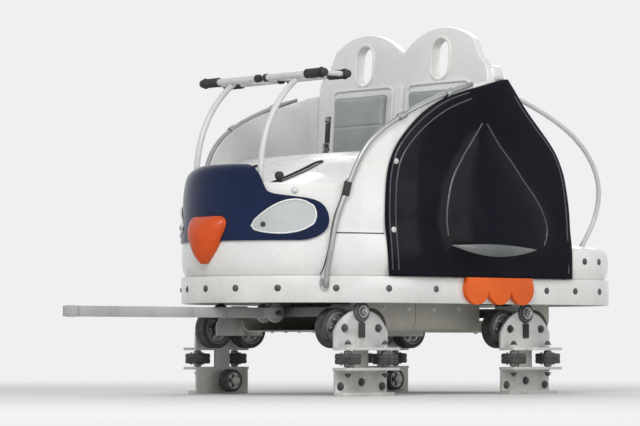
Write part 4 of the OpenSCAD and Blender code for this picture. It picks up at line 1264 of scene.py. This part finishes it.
def fitRearBolts():
    skin, height = skinOf("tailCover"), rearBolts["coverHeight"]
    spots = sideSpots(skin, *((station, height) for station in rearBolts["coverStations"]))
    spots += endSpots(skin, rearBolts["coverOut"], height, -1)
    rearward = onBack(0, 1, 0) - onBack(0, 1, 1)
    spots += [(onBack(side * y, up, -seatBack["thick"]), rearward)
              for y in rearBolts["backOut"] for up in rearBolts["backUp"] for side in sides]
    fasten("darkDome", "rearBolts", spots)


def fitDrawbar():
    low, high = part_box("drawbar")
    nutOut = max(abs(low[1]), abs(high[1])) - drawbarFit["nutSink"]
    pivotX, _, pivotZ = joints["drawbar"]["pos_m"]
    spots = [((pivotX, side * nutOut, pivotZ), (0, side, 0)) for side in sides]
    fasten("darkHex", "drawbarNuts", spots, "drawbar")
    eye = (high[0] - drawbarFit["eyeBack"], 0, pivotZ)
    bush = turned("drawbarBush", mirroredRing(drawbarFit["bush"]), 36, place=eye)
    finishPiece(bush, "bare_steel", "drawbar")


fitRearBolts()
fitDrawbar()


# Rivets that hang the pan from the rails and close its ends and its seam
panRivets = {"stations": (0.61, 0.76, 0.91, 1.06, 1.21), "height": 0.375, "out": (0.0, 0.09, 0.18),
             "seam": 0.95, "inset": 0.018}


def fitPanRivets():
    skin = skinOf("underPan")
    low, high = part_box("under_pan")
    seam, inset = at(panRivets["seam"]), panRivets["inset"]
    spots = sideSpots(skin, *((station, panRivets["height"]) for station in panRivets["stations"]))
    for x in (low[0] + inset, seam - inset, seam + inset, high[0] - inset):
        spots += [spotFrom(skin, (x, side * out, rayStart["below"]), (0, 0, 1))
                  for out in panRivets["out"] for side in bothSides(out)]
    fasten("paleDome", "panRivets", spots)


fitPanRivets()
print("rails, caps, seals and bolts fitted")

for model in models.values():
    bpy.data.objects.remove(model)


# Floor, backdrop and lights
studio = {"floorSize": 160.0, "floorColor": (0.74, 0.74, 0.73), "floorMottle": 0.985,
          "floorBlend": (2.4, 6.5), "backColor": (0.86, 0.87, 0.88), "worldLight": 0.52,
          "lampTarget": (0, 0, 0.8),
          "lamps": (("key", (5.0, 4.2, 5.2), 3.0, 290), ("fill", (-2.0, 6.5, 3.0), 4.0, 100),
                    ("back", (-5.0, -4.0, 5.0), 4.0, 150))}


def seenRays(tree):
    # 1 for what the camera sees, directly or in metal and glass
    paths = addNode(tree, "LightPath", {}).outputs
    seen = paths["Is Camera Ray"]
    for other in ("Is Glossy Ray", "Is Transmission Ray"):
        seen = combined(tree, "MAXIMUM", seen, paths[other])
    return seen


def floorFinish():
    # pale round the object, and the backdrop's own colour further out
    material, tree, shader = freshMaterial("floorPaint")
    points = objectPoints(tree)
    mottle = spread(tree, noiseOf(tree, points, 1.5), 0.3, 0.7)
    pale = studio["floorColor"]
    darker = tuple(studio["floorMottle"] * c for c in pale)
    fill(tree, shader, {"Roughness": 0.9, "Base Color": mixColors(tree, mottle, pale, darker)})
    away = addNode(tree, "VectorMath", {0: points}, operation="LENGTH").outputs["Value"]
    far = product(tree, spread(tree, away, *studio["floorBlend"]), seenRays(tree))
    glow = addNode(tree, "Emission", {"Color": studio["backColor"]}).outputs[0]
    mixed = addNode(tree, "MixShader", {0: far, 1: shader.outputs[0], 2: glow}).outputs[0]
    fill(tree, tree.nodes["Material Output"], {"Surface": mixed})
    return material


def setStudio():
    bpy.ops.mesh.primitive_plane_add(size=studio["floorSize"])
    floor = bpy.context.object
    floor.name = "floor"
    floor.data.materials.append(floorFinish())
    for name, place, size, power in studio["lamps"]:
        bpy.ops.object.light_add(type="AREA", location=place)
        lamp = bpy.context.object
        lamp.name = name
        lamp.data.size = size
        lamp.data.energy = power
        lookAt(lamp, studio["lampTarget"])
    world = bpy.data.worlds.new("studio")
    bpy.context.scene.world = world
    world.use_nodes = True
    tree = world.node_tree
    dimmed = {"Value": seenRays(tree), "To Min": studio["worldLight"]}
    light = addNode(tree, "MapRange", dimmed).outputs["Result"]
    fill(tree, tree.nodes["Background"], {"Color": studio["backColor"], "Strength": light})
    bpy.context.scene.view_settings.view_transform = "Standard"


setStudio()
print("studio set")
